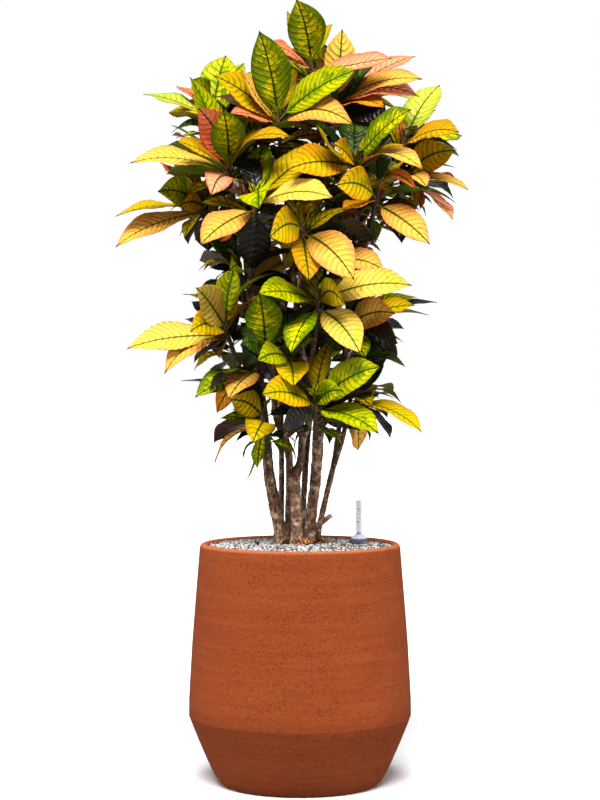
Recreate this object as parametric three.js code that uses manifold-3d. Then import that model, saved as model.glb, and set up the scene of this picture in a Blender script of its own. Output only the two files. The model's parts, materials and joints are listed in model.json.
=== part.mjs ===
// A potted croton: a clay-coloured pot with a crisp shoulder, a filling of growing substrate under
// white gravel, a water gauge, six woody stems and their leafy shoots.
// Millimetres, +Z up. The origin is the middle of the pot's foot; -Y is the front.
import * as THREE from "three";
import { mergeVertices } from "three/addons/utils/BufferGeometryUtils.js";
import Module from "manifold-3d";

const wasm = await Module();
wasm.setup();

// ---------------------------------------------------------------- driving dimensions
const GAP = 0.3; // between pieces that touch
const POT = {
  height: 400,
  footRadius: 128,
  shoulderRadius: 185,
  shoulderHeight: 114,
  bandHeight: 25, // the upright band above the shoulder's edge
  rimRadius: 167.3,
  wall: 15,
  floor: 20,
  sides: 36,
};
const FILL = {
  substrateTop: 386,
  gravelTop: 396, // at the wall; the gravel rises a little towards the stems
  crown: 3.7,
  wallGap: 1, // between what fills the pot and its wall
  stoneSize: 21, // from one ring of stones to the next
  stoneRelief: 4,
  stoneShift: 3,
  around: 24, // stones in a ring
  seed: 11,
};
const GAUGE = {
  x: 98.7,
  y: 15,
  top: 471,
  tubeRadius: 5.65,
  tubeWall: 1.2,
  capThickness: 2,
  chamfer: 1,
  coneRadius: 16.5,
  coneHeight: 13,
  coneBand: 3, // the upright foot of the cone
  coneWall: 2,
  floatRadius: 2.35,
  floatTop: 416,
  floatLift: 4, // above the sleeve's foot
  bobRadius: 5,
  bobHeight: 40,
  sleeveRadius: 9,
  sleeveBore: 7,
  sleeveFoot: 26,
  sides: 12,
};
const STEM = { sides: 6, socket: 0.5 }; // socket: the play of a stem in its hole
const BRANCH = {
  rise: 135, // from where it leaves its stem up to the growing tip
  sag: 0.35, // the bend's height, as a share of the rise
  ease: 0.25,
  share: 0.8, // of the stem's radius
  sides: 5,
  steps: 2,
};
const SHOOT = {
  length: 62,
  footRadius: 4.2,
  tipRadius: 2.9,
  budLength: 11,
  budRadius: 0.7,
  rootShare: 0.58, // of the radius, how far out a stalk starts
  rootsAbove: 6, // the highest stalk, above the growing tip
  rootsBelow: 14,
  rootsSpread: 160, // the span of tip heights over which the roots are spread
  sides: 4,
};
const LEAF = {
  stalkShare: 0.12, // of the leaf's length, from the shoot to the foot of the blade
  stalkWidth: 2.4,
  midribThickness: 2.4,
  fold: 0.16, // how far the two halves rise from the midrib, per half width
  wave: 2.6, // how far the waved margin swings up and down
  archForward: 0.35, // arched leaves bulge up and this share to the front
  slim: 46, // a blade narrower than this is a slim one
};
// Leaves that the rule places: angles in degrees, and the spread of each random draw.
const RULE = {
  turn: 137.5, // round the shoot from one leaf to the next
  sweep: 75, // either side of straight back, on the shoots at the front
  steep: 50,
  low: -28,
  slopeSpread: 16,
  arch: 8,
  archSpread: 14,
  length: 128,
  lengthSpread: 36,
  shortest: 70,
  trim: 6, // a leaf that reaches out of the crown is shortened by this at a time
  widthShare: 0.4,
  widest: 56,
  tries: 3, // per leaf
  seed: 7,
};
// Where the blade is measured, as shares of the leaf's length, and its half width there. Slim
// leaves and the ones at the back take fewer.
const STATIONS = [
  { along: 0.34, half: 0.84 },
  { along: 0.6, half: 1 },
  { along: 0.84, half: 0.6 },
];
const FEW_STATIONS = [
  { along: 0.38, half: 0.94 },
  { along: 0.74, half: 0.86 },
];
// How far from the plant's axis the crown reaches at each height: full above, a waist, full again.
const CROWN_REACH = [
  [520, 100],
  [600, 160],
  [700, 215],
  [800, 225],
  [860, 135],
  [905, 140],
  [950, 250],
  [1080, 265],
  [1180, 180],
  [1290, 60],
];

const COLOURS = {
  clay: 0xa84f28,
  soil: 0x3a2a1e,
  gravel: 0xd8d6d0,
  clear: 0xdcdcdc,
  cone: 0xb8b8c4,
  float: 0xa83010,
  bark: 0x8a6a50,
  lime: 0xc4d000,
  yellow: 0xf2d21c,
  gold: 0xf0b414,
  pale: 0xf8e88c,
  peach: 0xfcc880,
  salmon: 0xf08058,
  green: 0x4a7c10,
  dark: 0x24400e,
};

// ---------------------------------------------------------------- stems
// The trunks, from the foot in the substrate upwards: [x, y, z, radius]. A fork or a stub is a
// further route that starts inside the trunk.
const STEMS = {
  left: [
    [
      [-32, 0, 325, 11], [-32, 0, 405, 10.5], [-44, 0, 472, 10], [-50, 0, 505, 9.2],
      [-57, 0, 572, 8.3], [-65, 2, 647, 7.8], [-74, 5, 735, 7], [-88, 2, 860, 6],
      [-89, -5, 940, 5.4], [-95, 0, 1020, 4],
    ],
  ],
  back: [
    [
      [-32, 36, 325, 5], [-32, 36, 405, 4.8], [-31, 36, 540, 4.6], [-33, 42, 680, 4.4],
      [-28, 55, 850, 4], [-20, 60, 930, 3.8],
    ],
  ],
  centre: [
    [
      [-5, -10, 325, 10], [-5, -10, 405, 9.5], [-8, -10, 500, 8.7], [1, -9, 538, 6.2],
      [4, -8, 572, 6.3], [14, -8, 605, 5.2], [12, -22, 680, 5], [0, -30, 740, 5],
      [-15, -25, 900, 4.6], [-25, -20, 990, 4.2], [-33, -30, 1030, 3.8],
    ],
    [
      [-21, 14, 325, 5], [-21, 14, 405, 5], [-18, -5, 490, 5.6], [-18, -11, 538, 6],
      [-24, -14, 572, 6.6], [-38, -18, 605, 5.4], [-43, -26, 640, 4.8],
    ],
  ],
  inner: [
    [
      [3, 20, 325, 5.5], [3, 20, 405, 5.2], [8, 22, 505, 5], [13, 22, 572, 4.6],
      [18, 34, 615, 4.3], [20, 48, 665, 4],
    ],
  ],
  right: [
    [
      [17, 5, 325, 9.5], [15, 5, 405, 9.3], [26, 5, 505, 9], [30, 5, 572, 9.4],
      [33, 5, 605, 9], [40, 5, 671, 8], [50, 2, 755, 7.2], [55, 0, 830, 6.5],
      [48, 5, 930, 5.8], [45, 5, 1000, 5.2], [36, 4, 1075, 4.4],
    ],
    [
      [18, 4, 420, 5], [40, -8, 438, 4.6], [52, -12, 447, 3.6],
    ],
  ],
  slender: [
    [
      [30, 24, 325, 5], [30, 24, 405, 4.8], [43, 24, 472, 4.8], [58, 22, 538, 4.6],
      [67, 22, 605, 4.4], [75, 20, 672, 4.4], [85, 20, 770, 4.7], [91, 20, 893, 5],
      [100, 12, 960, 4.6],
    ],
  ],
};

// ---------------------------------------------------------------- leafy shoots
// at: the growing tip. from: the height at which the shoot's branch leaves its stem.
// leaves: seen from the front, each tip's place from the growing tip [across, up, back], the
// blade's width, how far it arches, which way the upper face looks (0 up, 90 to the front, below
// 0 away) and, where it needs one, a turn to the right. drawn: leaves added by the rule.
const SHOOTS = [
  {
    name: "upper_01",
    stem: "left",
    at: [-115, -90, 1010],
    colour: "gold",
    drawn: 2,
    leaves: [
      [-60, 155, 0, 65, 0, 35, 40], [-45, 90, -95, 60, 10, 70], [-80, 40, -90, 45, 6, 45],
      [-105, 50, 60, 55, 0, -40], [-100, 60, 75, 60, 12, 15], [-155, 10, -65, 70, 14, 30],
      [-105, 5, 60, 50, 0, -25], [-25, -45, -80, 45, 12, 75], [-5, 85, -105, 55, 7, 60],
      [55, 95, 85, 60, 0, -15], [100, 50, -75, 50, 26, 35], [-20, 125, 50, 55, 0, -5],
    ],
  },
  {
    name: "upper_02",
    stem: "centre",
    at: [-35, -60, 1090],
    colour: "lime",
    drawn: 3,
    leaves: [
      [-30, 140, -75, 65, 7, 60], [-100, 70, -75, 65, 7, 55], [20, 105, 65, 55, 5, -20],
      [125, 80, -65, 65, 10, 55], [-5, 40, 90, 60, 42, 45], [-55, 80, -75, 45, -10, 75, 75],
      [-75, 10, -90, 50, 6, 45], [120, -10, -85, 55, 26, 60], [80, 5, 60, 55, 7, 50],
    ],
  },
  {
    name: "upper_03",
    stem: "right",
    at: [20, 0, 1185],
    colour: "salmon",
    drawn: 3,
    leaves: [
      [-25, 105, -75, 65, 5, 65], [-40, 110, 45, 55, 5, -5], [-70, 35, -90, 35, 4, 55],
      [-55, 10, -85, 50, 4, 45], [15, -15, -80, 35, 12, 85], [130, 15, -60, 55, 0, 45],
    ],
  },
  {
    name: "upper_04",
    stem: "slender",
    at: [90, -90, 1020],
    colour: "gold",
    drawn: 4,
    leaves: [
      [85, 80, -90, 65, 10, 50], [55, 75, 60, 50, 5, -5], [-60, 60, -85, 45, -17, 55, 75],
      [-35, 60, 50, 15, 0, 25, 75], [-35, 25, -80, 40, 7, 70], [105, -15, -85, 60, 26, 25],
      [-110, -15, -90, 65, 10, 65],
    ],
  },
  {
    name: "upper_05",
    stem: "left",
    at: [-70, -130, 955],
    colour: "yellow",
    drawn: 2,
    leaves: [
      [5, 75, 65, 45, 0, -50], [10, 105, 60, 50, 5, -20], [5, -15, -100, 65, 26, 90],
      [120, 5, -80, 65, 12, 45], [-85, -70, -90, 60, 8, 45], [120, 100, 45, 65, 10, 35],
      [-65, -55, 80, 50, 0, 50], [-35, -55, 80, 45, 0, 50], [-10, -100, 60, 55, -6, -30],
    ],
  },
  {
    name: "upper_06",
    stem: "left",
    at: [-160, -20, 960],
    colour: "lime",
    drawn: 3,
    leaves: [
      [-75, 80, 70, 55, 7, -5], [-140, -20, -65, 55, 10, 15], [-65, 15, -105, 55, 10, 80],
      [-140, -70, -70, 65, 10, 30], [-80, -35, 70, 40, 5, -5], [-30, -5, -80, 35, 7, 90],
      [-35, -40, 50, 15, 0, 50], [-30, -55, -60, 30, 10, -20], [-25, -65, -65, 35, 6, -35],
      [5, -70, 70, 45, 0, -30],
    ],
  },
  {
    name: "upper_07",
    stem: "slender",
    at: [125, -80, 970],
    colour: "peach",
    drawn: 4,
    leaves: [
      [80, -80, -85, 50, 10, 70], [45, -70, 70, 50, 10, 0], [-65, 10, -90, 55, 10, 85],
      [-50, -20, -55, 40, 1, 20], [60, 5, -80, 35, 31, 40],
    ],
  },
  {
    name: "upper_08",
    stem: "centre",
    at: [5, -120, 920],
    colour: "yellow",
    drawn: 3,
    leaves: [
      [-50, -25, -95, 60, 12, 95], [80, -90, -80, 65, 14, 75], [-35, -65, 80, 50, 5, 60],
      [15, 30, -60, 25, 5, 65], [-10, 30, -50, 25, 5, 55], [120, -20, 65, 60, 7, -30],
      [10, -90, -70, 50, 6, -25],
    ],
  },
  {
    name: "upper_09",
    stem: "slender",
    at: [170, -10, 1060],
    colour: "green",
    drawn: 3,
    leaves: [
      [65, 110, 50, 60, 7, 25], [-10, 50, -30, 15, 0, 40], [85, 15, -95, 55, 10, 50],
      [105, 25, 65, 55, 10, 50], [100, -5, 75, 50, 7, 0], [60, 65, 80, 50, 7, -10],
      [-35, 60, 70, 45, 5, -15],
    ],
  },
  {
    name: "upper_10",
    stem: "slender",
    at: [180, 20, 1010],
    colour: "peach",
    drawn: 3,
    leaves: [
      [70, 35, -90, 55, 12, 85], [85, 10, 70, 40, 7, 15], [95, -25, -85, 45, 10, 20],
      [75, -10, 85, 45, 7, -20], [30, -25, -95, 40, 14, 30], [10, -45, -65, 35, 12, -45],
      [20, -55, -60, 30, 7, -20], [70, -75, -85, 55, 12, -10], [-70, -5, -75, 45, 7, -70],
    ],
  },
  {
    name: "upper_11",
    stem: "right",
    at: [60, 20, 1130],
    colour: "gold",
    drawn: 2,
    leaves: [
      [10, 125, -20, 55, 5, 40], [135, 90, 35, 60, 10, 25], [140, 35, -80, 55, 14, 45],
      [135, 10, -60, 65, 22, 40], [140, 15, 45, 65, 17, 25], [110, 5, 70, 55, 12, 35],
      [80, -10, -75, 50, 12, 35], [85, -30, -85, 55, 10, -105],
    ],
  },
  {
    name: "upper_12",
    stem: "left",
    at: [-145, 0, 1105],
    colour: "lime",
    drawn: 3,
    leaves: [
      [-120, 50, 50, 50, 7, 20], [-80, 25, 85, 50, 7, 55], [-65, 70, 80, 45, 5, -5],
      [20, 115, 40, 65, 5, 25], [50, 105, 60, 55, 5, 10], [-25, 55, -85, 50, 5, 70, 30],
    ],
  },
  {
    name: "lower_01",
    stem: "left",
    at: [-120, -40, 750],
    colour: "pale",
    drawn: 3,
    leaves: [
      [-160, -25, -60, 65, 10, 45], [-100, -65, -65, 60, 22, 25], [-55, 0, -95, 50, 14, 70],
      [-45, 70, -100, 60, 7, 65], [-40, -25, -70, 40, 1, -30], [-25, -30, 70, 30, 5, 0],
      [-15, -45, -75, 30, 5, -60], [15, 105, -55, 50, 7, 40], [50, 60, -65, 40, 5, 30],
    ],
  },
  {
    name: "lower_02",
    stem: "centre",
    at: [-55, -90, 710],
    colour: "dark",
    drawn: 2,
    leaves: [
      [-10, 100, -70, 60, 10, 55], [-45, 25, -85, 45, 10, 70], [30, 45, 70, 40, 5, 40],
      [-45, -5, 90, 40, 5, 80],
    ],
  },
  {
    name: "lower_03",
    stem: "centre",
    at: [30, -90, 800],
    colour: "gold",
    drawn: 3,
    leaves: [
      [-35, 70, 85, 50, 5, -35], [-95, 10, -95, 60, 7, 50], [-70, 45, 75, 40, 7, 0],
      [40, -10, -80, 45, 22, 95], [65, -85, -90, 60, 12, 60], [-45, -85, -80, 55, 12, -10],
      [145, 25, -85, 65, 12, 55], [-5, -55, 70, 45, 5, -30],
    ],
  },
  {
    name: "lower_04",
    stem: "right",
    at: [25, -85, 630],
    colour: "lime",
    drawn: 3,
    leaves: [
      [-85, 20, -100, 60, 12, 60], [-10, 60, 40, 40, 2, -40], [100, 65, -90, 65, 7, 60],
      [40, 25, -80, 40, 10, 75], [100, -40, -95, 65, 14, 30], [75, -40, 85, 50, 5, -55],
      [-55, -35, -75, 45, 7, -75], [-20, -25, 50, 25, 2, 70],
    ],
  },
  {
    name: "lower_05",
    stem: "left",
    at: [-60, -60, 610],
    colour: "gold",
    drawn: 1,
    leaves: [
      [-50, 30, -85, 45, 10, 85], [-15, -35, -90, 50, 12, 75], [-85, -40, 75, 50, 12, -25],
      [-80, -75, 55, 45, 17, 20], [-10, -80, -50, 25, 2, -25], [-25, -105, 40, 40, 0, 50, 60],
      [-60, -15, 70, 30, 13, 35],
    ],
  },
  {
    name: "lower_06",
    stem: "left",
    at: [-70, -40, 695],
    colour: "peach",
    drawn: 2,
    leaves: [
      [-45, -50, -90, 50, 10, 25], [-100, -50, -65, 60, 10, 35], [-75, -40, -90, 50, 16, -20],
      [-70, -80, 40, 35, 12, 70],
    ],
  },
  {
    name: "lower_07",
    stem: "slender",
    at: [85, 0, 645],
    colour: "yellow",
    drawn: 4,
    leaves: [
      [115, -55, -80, 65, 13, 10], [65, -65, -80, 55, 14, -25], [30, 5, 50, 15, 2, 50],
      [30, -15, -85, 40, 10, 30], [65, -35, 75, 40, 10, 0], [15, -95, 65, 50, 7, 45],
      [10, -65, -75, 45, 7, -60],
    ],
  },
  {
    name: "lower_08",
    stem: "left",
    at: [-100, -35, 855],
    colour: "dark",
    drawn: 3,
    leaves: [
      [-10, -5, -90, 35, 11, 85], [-70, 20, 100, 50, 4, -55],
    ],
  },
  {
    name: "lower_09",
    stem: "slender",
    at: [75, -30, 755],
    colour: "gold",
    drawn: 2,
    leaves: [
      [120, 60, 55, 65, 10, 15], [155, 50, 50, 60, 10, 10], [75, 25, -100, 55, 10, 75],
      [110, 40, -70, 50, 10, 45], [140, 30, 50, 55, 12, 5], [85, -25, -80, 55, 10, -95],
      [100, 5, 65, 45, 7, -25], [90, -50, 65, 45, 14, 0], [-20, -35, -90, 45, 7, 15],
      [30, -45, -95, 45, 7, 45],
    ],
  },
  {
    name: "lower_10",
    stem: "centre",
    at: [-20, -60, 710],
    colour: "yellow",
    drawn: 1,
    leaves: [
      [10, -45, -95, 55, 10, 30], [-50, -5, -95, 45, 11, 75], [-15, 85, 85, 35, -1, -15, 40],
    ],
  },
  {
    name: "lower_11",
    stem: "right",
    at: [40, -40, 865],
    colour: "gold",
    drawn: 5,
    leaves: [
      [95, -15, -80, 55, 12, 50], [35, -30, -65, 50, 5, -25],
    ],
  },
];

// Shoots at the back of the crown carry only leaves placed by the rule.
const REAR_SHOOTS = [
  { name: "rear_01", stem: "left", at: [-75, 95, 1080], colour: "lime", drawn: 7 },
  { name: "rear_02", stem: "right", at: [50, 100, 1115], colour: "yellow", drawn: 7 },
  { name: "rear_03", stem: "slender", at: [130, 105, 1030], colour: "green", drawn: 7 },
  { name: "rear_04", stem: "left", at: [-125, 90, 1005], colour: "gold", drawn: 7 },
  { name: "rear_05", stem: "back", at: [0, 135, 1000], colour: "lime", drawn: 7 },
  { name: "rear_06", stem: "back", at: [-10, 110, 905], colour: "green", drawn: 7 },
  { name: "rear_07", stem: "slender", at: [80, 95, 935], colour: "gold", drawn: 7 },
  { name: "rear_08", stem: "back", at: [-60, 90, 785], colour: "yellow", drawn: 7 },
  { name: "rear_09", stem: "inner", at: [45, 95, 735], colour: "lime", drawn: 7 },
  { name: "rear_10", stem: "inner", at: [-15, 95, 690], colour: "green", drawn: 7 },
];

// ---------------------------------------------------------------- solids
const { clamp, degToRad, lerp, mapLinear } = THREE.MathUtils;

function solidOf(geometry) {
  const bare = geometry.clone();
  bare.deleteAttribute("normal");
  bare.deleteAttribute("uv");
  const merged = mergeVertices(bare, 1e-3);
  return new wasm.Manifold(
    new wasm.Mesh({
      numProp: 3,
      vertProperties: new Float32Array(merged.attributes.position.array),
      triVerts: new Uint32Array(merged.index.array),
    }),
  );
}

function geometryOf(solid) {
  const { vertProperties, triVerts } = solid.getMesh();
  return new THREE.BufferGeometry()
    .setAttribute("position", new THREE.BufferAttribute(vertProperties, 3))
    .setIndex(new THREE.BufferAttribute(triVerts, 1));
}

// A closed skin through rings of points, drawn to a point at each end. The diagonals alternate
// round the ring, so a thin waved blade is split alike on its two faces.
function loft(start, rings, end) {
  const points = [start, ...rings.flat(), end];
  const sides = rings[0].length;
  const last = points.length - 1;
  const at = (ring, side) => 1 + ring * sides + (side % sides);
  const faces = [];
  for (let side = 0; side < sides; side++) {
    faces.push(0, at(0, side + 1), at(0, side));
  }
  for (let ring = 0; ring + 1 < rings.length; ring++) {
    for (let side = 0; side < sides; side++) {
      const [a, b] = [at(ring, side), at(ring, side + 1)];
      const [c, d] = [at(ring + 1, side + 1), at(ring + 1, side)];
      if (side % 2 === 0) faces.push(a, b, c, a, c, d);
      else faces.push(a, b, d, b, c, d);
    }
  }
  for (let side = 0; side < sides; side++) {
    faces.push(last, at(rings.length - 1, side), at(rings.length - 1, side + 1));
  }
  const geometry = new THREE.BufferGeometry().setFromPoints(points);
  geometry.setIndex(faces);
  return geometry;
}

const turned = (profile, sides) =>
  new THREE.LatheGeometry(
    profile.map(([radius, height]) => new THREE.Vector2(radius, height)),
    sides,
  ).rotateX(Math.PI / 2);

// ---------------------------------------------------------------- pot, substrate, gravel
const shoulderTop = POT.shoulderHeight + POT.bandHeight;

// The outside from the foot up: a rounded foot, a bowl that opens to the crisp shoulder, an
// upright band and a wall that leans in to the rounded rim.
const POT_OUTSIDE = [
  [POT.footRadius, 0],
  [POT.footRadius + 7, 5],
  [143.5, 17],
  [154, 39],
  [165.7, 66],
  [POT.shoulderRadius, POT.shoulderHeight],
  [POT.shoulderRadius, shoulderTop],
  [179.5, 239],
  [POT.rimRadius + 1.5, POT.height - 28],
  [POT.rimRadius, POT.height - 7],
  [POT.rimRadius - 5.5, POT.height],
  [POT.rimRadius - 11.5, POT.height - 2],
];
const POT_INSIDE = [
  [POT.rimRadius - POT.wall, POT.height - 5],
  [POT.shoulderRadius - POT.wall, shoulderTop],
  [POT.shoulderRadius - POT.wall - 2, POT.shoulderHeight],
  [POT.footRadius, POT.floor + 12],
  [POT.footRadius - 14, POT.floor],
];

const pot = () => turned([[0, 0], ...POT_OUTSIDE, ...POT_INSIDE, [0, POT.floor]], POT.sides);

// The inside wall's radius at a height, for what fills the pot.
function insideRadius(height) {
  const above = POT_INSIDE.findIndex(([, z]) => z <= height);
  const [[r1, z1], [r0, z0]] = [POT_INSIDE[above - 1], POT_INSIDE[above]];
  return mapLinear(height, z0, z1, r0, r1);
}

const cut = (solid, tools) => tools.reduce((rest, tool) => rest.subtract(tool), solid);

// The growing substrate fills the pot from its floor, a little clear of the wall.
function substrate(holes) {
  const wall = POT_INSIDE.slice(1)
    .map(([radius, height]) => [radius - FILL.wallGap, height])
    .reverse();
  wall[0][1] += GAP;
  const top = FILL.substrateTop;
  const edge = insideRadius(top) - FILL.wallGap;
  const profile = [[0, wall[0][1]], ...wall, [edge, top], [0, top]];
  return cut(solidOf(turned(profile, POT.sides / 2)), holes);
}

// White gravel: a bed of rings of stones in relief, with a flat underside.
function gravel(holes) {
  const radius = POT.rimRadius - POT.wall - FILL.wallGap;
  const floor = FILL.substrateTop + GAP;
  const ringCount = Math.round(radius / FILL.stoneSize);
  const draw = seeded(FILL.seed);
  const top = [];
  for (let ring = ringCount; ring >= 1; ring--) {
    const share = ring / ringCount;
    const bed = FILL.gravelTop - FILL.stoneRelief + FILL.crown * (1 - share * share);
    top.push(
      Array.from({ length: FILL.around }, (_, k) => {
        const angle = ((k + (ring % 2) / 2) / FILL.around) * 2 * Math.PI;
        const reach = radius * share - (ring < ringCount ? draw() * FILL.stoneShift : 0);
        const height = bed + FILL.stoneRelief * draw();
        return new THREE.Vector3(reach * Math.cos(angle), reach * Math.sin(angle), height);
      }),
    );
  }
  const rim = top[0].map((p) => new THREE.Vector3(p.x, p.y, floor));
  const middle = new THREE.Vector3(0, 0, FILL.gravelTop + FILL.crown);
  return cut(solidOf(loft(new THREE.Vector3(0, 0, floor), [rim, ...top], middle)), holes);
}

// ---------------------------------------------------------------- water gauge
const coneFoot = FILL.gravelTop + FILL.crown + GAP;
const coneTop = coneFoot + GAUGE.coneHeight;
const tubeBore = GAUGE.tubeRadius - GAUGE.tubeWall;

const standing = (profile) => turned(profile, GAUGE.sides).translate(GAUGE.x, GAUGE.y, 0);

// The clear tube, closed by a flat cap at the top and open below.
const gaugeTube = () =>
  standing([
    [0, GAUGE.top - GAUGE.capThickness],
    [tubeBore, GAUGE.top - GAUGE.capThickness],
    [tubeBore, coneFoot],
    [GAUGE.tubeRadius, coneFoot],
    [GAUGE.tubeRadius, GAUGE.top - GAUGE.chamfer],
    [GAUGE.tubeRadius - GAUGE.chamfer, GAUGE.top],
    [0, GAUGE.top],
  ]);

// The collar that stands on the gravel round the tube.
const gaugeCollar = () =>
  standing([
    [GAUGE.tubeRadius + GAP, coneFoot],
    [GAUGE.coneRadius, coneFoot],
    [GAUGE.coneRadius, coneFoot + GAUGE.coneBand],
    [GAUGE.tubeRadius + GAUGE.coneWall, coneTop],
    [GAUGE.tubeRadius + GAP, coneTop],
    [GAUGE.tubeRadius + GAP, coneFoot],
  ]);

// The sleeve through the substrate down to the reserve of water, open at both ends.
function gaugeSleeve() {
  const { sleeveRadius: radius, sleeveBore: bore, sleeveFoot: foot } = GAUGE;
  const top = coneFoot - GAP;
  return standing([[bore, foot], [radius, foot], [radius, top], [bore, top], [bore, foot]]);
}

// The float: a thick end in the water and a thin rod whose top shows the level.
function gaugeFloat() {
  const { floatRadius: rod, floatTop: top, bobRadius: bob, bobHeight } = GAUGE;
  const foot = GAUGE.sleeveFoot + GAUGE.floatLift;
  const shoulder = foot + bobHeight;
  return standing([
    [0, foot],
    [bob, foot],
    [bob, shoulder],
    [rod, shoulder + bob],
    [rod, top],
    [0, top + GAUGE.chamfer],
  ]);
}

// The hole that the sleeve stands in, from the pot's floor to above the gravel.
function gaugeHole() {
  const radius = GAUGE.sleeveRadius + STEM.socket;
  const [foot, top] = [POT.floor - 1, coneTop];
  return solidOf(standing([[0, foot], [radius, foot], [radius, top], [0, top]]));
}

// ---------------------------------------------------------------- stems and branches
const vector = ([x, y, z]) => new THREE.Vector3(x, y, z);

// A closed limb through [x, y, z, radius] stations, thickened by spare. Its last ring is square
// to the given end direction, or else to its last stretch.
function limb(route, sides, spare = 0, endWay = null) {
  const centres = route.map(vector);
  const last = centres.length - 1;
  const rings = route.map(([, , , radius], i) => {
    const next = centres[Math.min(i + 1, last)];
    const stretch = next.clone().sub(centres[Math.max(i - 1, 0)]).normalize();
    const along = i === last && endWay ? endWay : stretch;
    const across = new THREE.Vector3(1, 0, 0).addScaledVector(along, -along.x).normalize();
    const third = along.clone().cross(across);
    return Array.from({ length: sides }, (_, k) => {
      const angle = (k / sides) * 2 * Math.PI;
      return centres[i]
        .clone()
        .addScaledVector(across, (radius + spare) * Math.cos(angle))
        .addScaledVector(third, (radius + spare) * Math.sin(angle));
    });
  });
  return loft(centres[0], rings, centres[last]);
}

const branchLimb = (shoot) => limb(shoot.route, BRANCH.sides, 0, shoot.along);

// The point of a route at a height.
function atHeight(route, height) {
  const above = Math.max(1, route.findIndex(([, , z]) => z >= height));
  const [low, high] = [route[above - 1], route[above]];
  const share = (height - low[2]) / (high[2] - low[2]);
  return low.map((value, i) => value + (high[i] - value) * share);
}

// A shoot's branch leaves its stem, bends upwards and meets the shoot's foot end to end.
function branchOf(shoot) {
  const [trunk] = STEMS[shoot.stem];
  const [, , top] = trunk.at(-1);
  const from = atHeight(trunk, Math.min(shoot.at[2] - BRANCH.rise, top));
  const [start, tip] = [vector(from), vector(shoot.at)];
  const bend = start.clone().lerp(tip, 0.5);
  bend.z = lerp(start.z, tip.z, BRANCH.sag);
  const along = tip.clone().sub(bend).normalize();
  const foot = tip.clone().addScaledVector(along, -SHOOT.length);
  const end = foot.clone().addScaledVector(along, -GAP);
  const curve = new THREE.QuadraticBezierCurve3(start, bend.lerp(end, BRANCH.ease), end);
  const thick = Math.min(from[3] * BRANCH.share, SHOOT.footRadius + 1);
  const route = curve.getPoints(BRANCH.steps).map((p, i) => {
    const radius = lerp(thick, SHOOT.footRadius, i / BRANCH.steps);
    return [p.x, p.y, p.z, radius];
  });
  return { route, foot, tip, along };
}

function shootLimb({ foot, tip, along }) {
  const neck = tip.clone().addScaledVector(along, SHOOT.rootsAbove + 2);
  const bud = neck.clone().addScaledVector(along, SHOOT.budLength);
  const route = [
    [...foot, SHOOT.footRadius],
    [...neck, SHOOT.tipRadius],
    [...bud, SHOOT.budRadius],
  ];
  return limb(route, SHOOT.sides);
}

// ---------------------------------------------------------------- leaves
// A leaf's skin: a stalk rooted in the shoot, then a thin arched blade, folded at the midrib and
// waved along its margins. spare makes the skin thicker and wider, to keep leaves apart.
function leafSkin(leaf, spare = 0) {
  const chord = leaf.tip.clone().sub(leaf.root);
  const length = chord.length();
  chord.divideScalar(length);
  const normal = squareTo(leaf.facing, chord);
  const side = chord.clone().cross(normal);
  const rise = squareTo(new THREE.Vector3(0, -LEAF.archForward, 1), chord);
  const centreAt = (along) =>
    leaf.root
      .clone()
      .addScaledVector(chord, along * length)
      .addScaledVector(rise, 4 * along * (1 - along) * leaf.arch);
  const ring = (along, half, thickness, wave) => {
    const centre = centreAt(along);
    const edge = (way) =>
      centre
        .clone()
        .addScaledVector(side, way * half)
        .addScaledVector(normal, LEAF.fold * half + way * wave);
    return [
      edge(-1),
      centre.clone().addScaledVector(normal, thickness / 2),
      edge(1),
      centre.clone().addScaledVector(normal, -thickness / 2),
    ];
  };
  const stalk = ring(LEAF.stalkShare, LEAF.stalkWidth / 2 + spare, LEAF.stalkWidth + spare, 0);
  const blade = leaf.stations.map(({ along, half }, i) =>
    ring(
      along,
      (half * leaf.width) / 2 + spare,
      LEAF.midribThickness + spare,
      i % 2 ? LEAF.wave : -LEAF.wave,
    ),
  );
  return loft(leaf.root, [stalk, ...blade], centreAt(1).addScaledVector(chord, spare));
}

// The part of a direction that is square to another, as a unit vector.
function squareTo(direction, axis) {
  return direction.clone().addScaledVector(axis, -direction.dot(axis)).normalize();
}

// Stalks leave the shoot round its tip, the lower leaves further down, each on its own side.
function rootOn(shoot, reach) {
  const share = clamp(0.5 + reach.z / SHOOT.rootsSpread, 0, 1);
  const up = lerp(-SHOOT.rootsBelow, SHOOT.rootsAbove, share);
  const outward = squareTo(reach, shoot.along).multiplyScalar(SHOOT.tipRadius * SHOOT.rootShare);
  return shoot.tip.clone().addScaledVector(shoot.along, up).add(outward);
}

function listedLeaf(shoot, [across, up, back, width, arch, face, turn = 0]) {
  const [tilt, yaw] = [degToRad(face), degToRad(turn)];
  const reach = new THREE.Vector3(across, back, up);
  return {
    root: rootOn(shoot, reach),
    tip: shoot.tip.clone().add(reach),
    width,
    arch,
    stations: width < LEAF.slim ? FEW_STATIONS : STATIONS,
    facing: new THREE.Vector3(
      Math.sin(tilt) * Math.sin(yaw),
      -Math.sin(tilt) * Math.cos(yaw),
      Math.cos(tilt),
    ),
  };
}

// Even numbers from 0 to 1 in a fixed order.
function seeded(seed) {
  let state = seed;
  return () => (state = (1664525 * state + 1013904223) % 4294967296) / 4294967296;
}

// The crown's reach from the axis at a height.
function reachAt(height) {
  const above = CROWN_REACH.findIndex(([z]) => z >= height);
  if (above < 1) return CROWN_REACH.at(above)[1];
  const [[z0, r0], [z1, r1]] = [CROWN_REACH[above - 1], CROWN_REACH[above]];
  return mapLinear(height, z0, z1, r0, r1);
}

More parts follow.
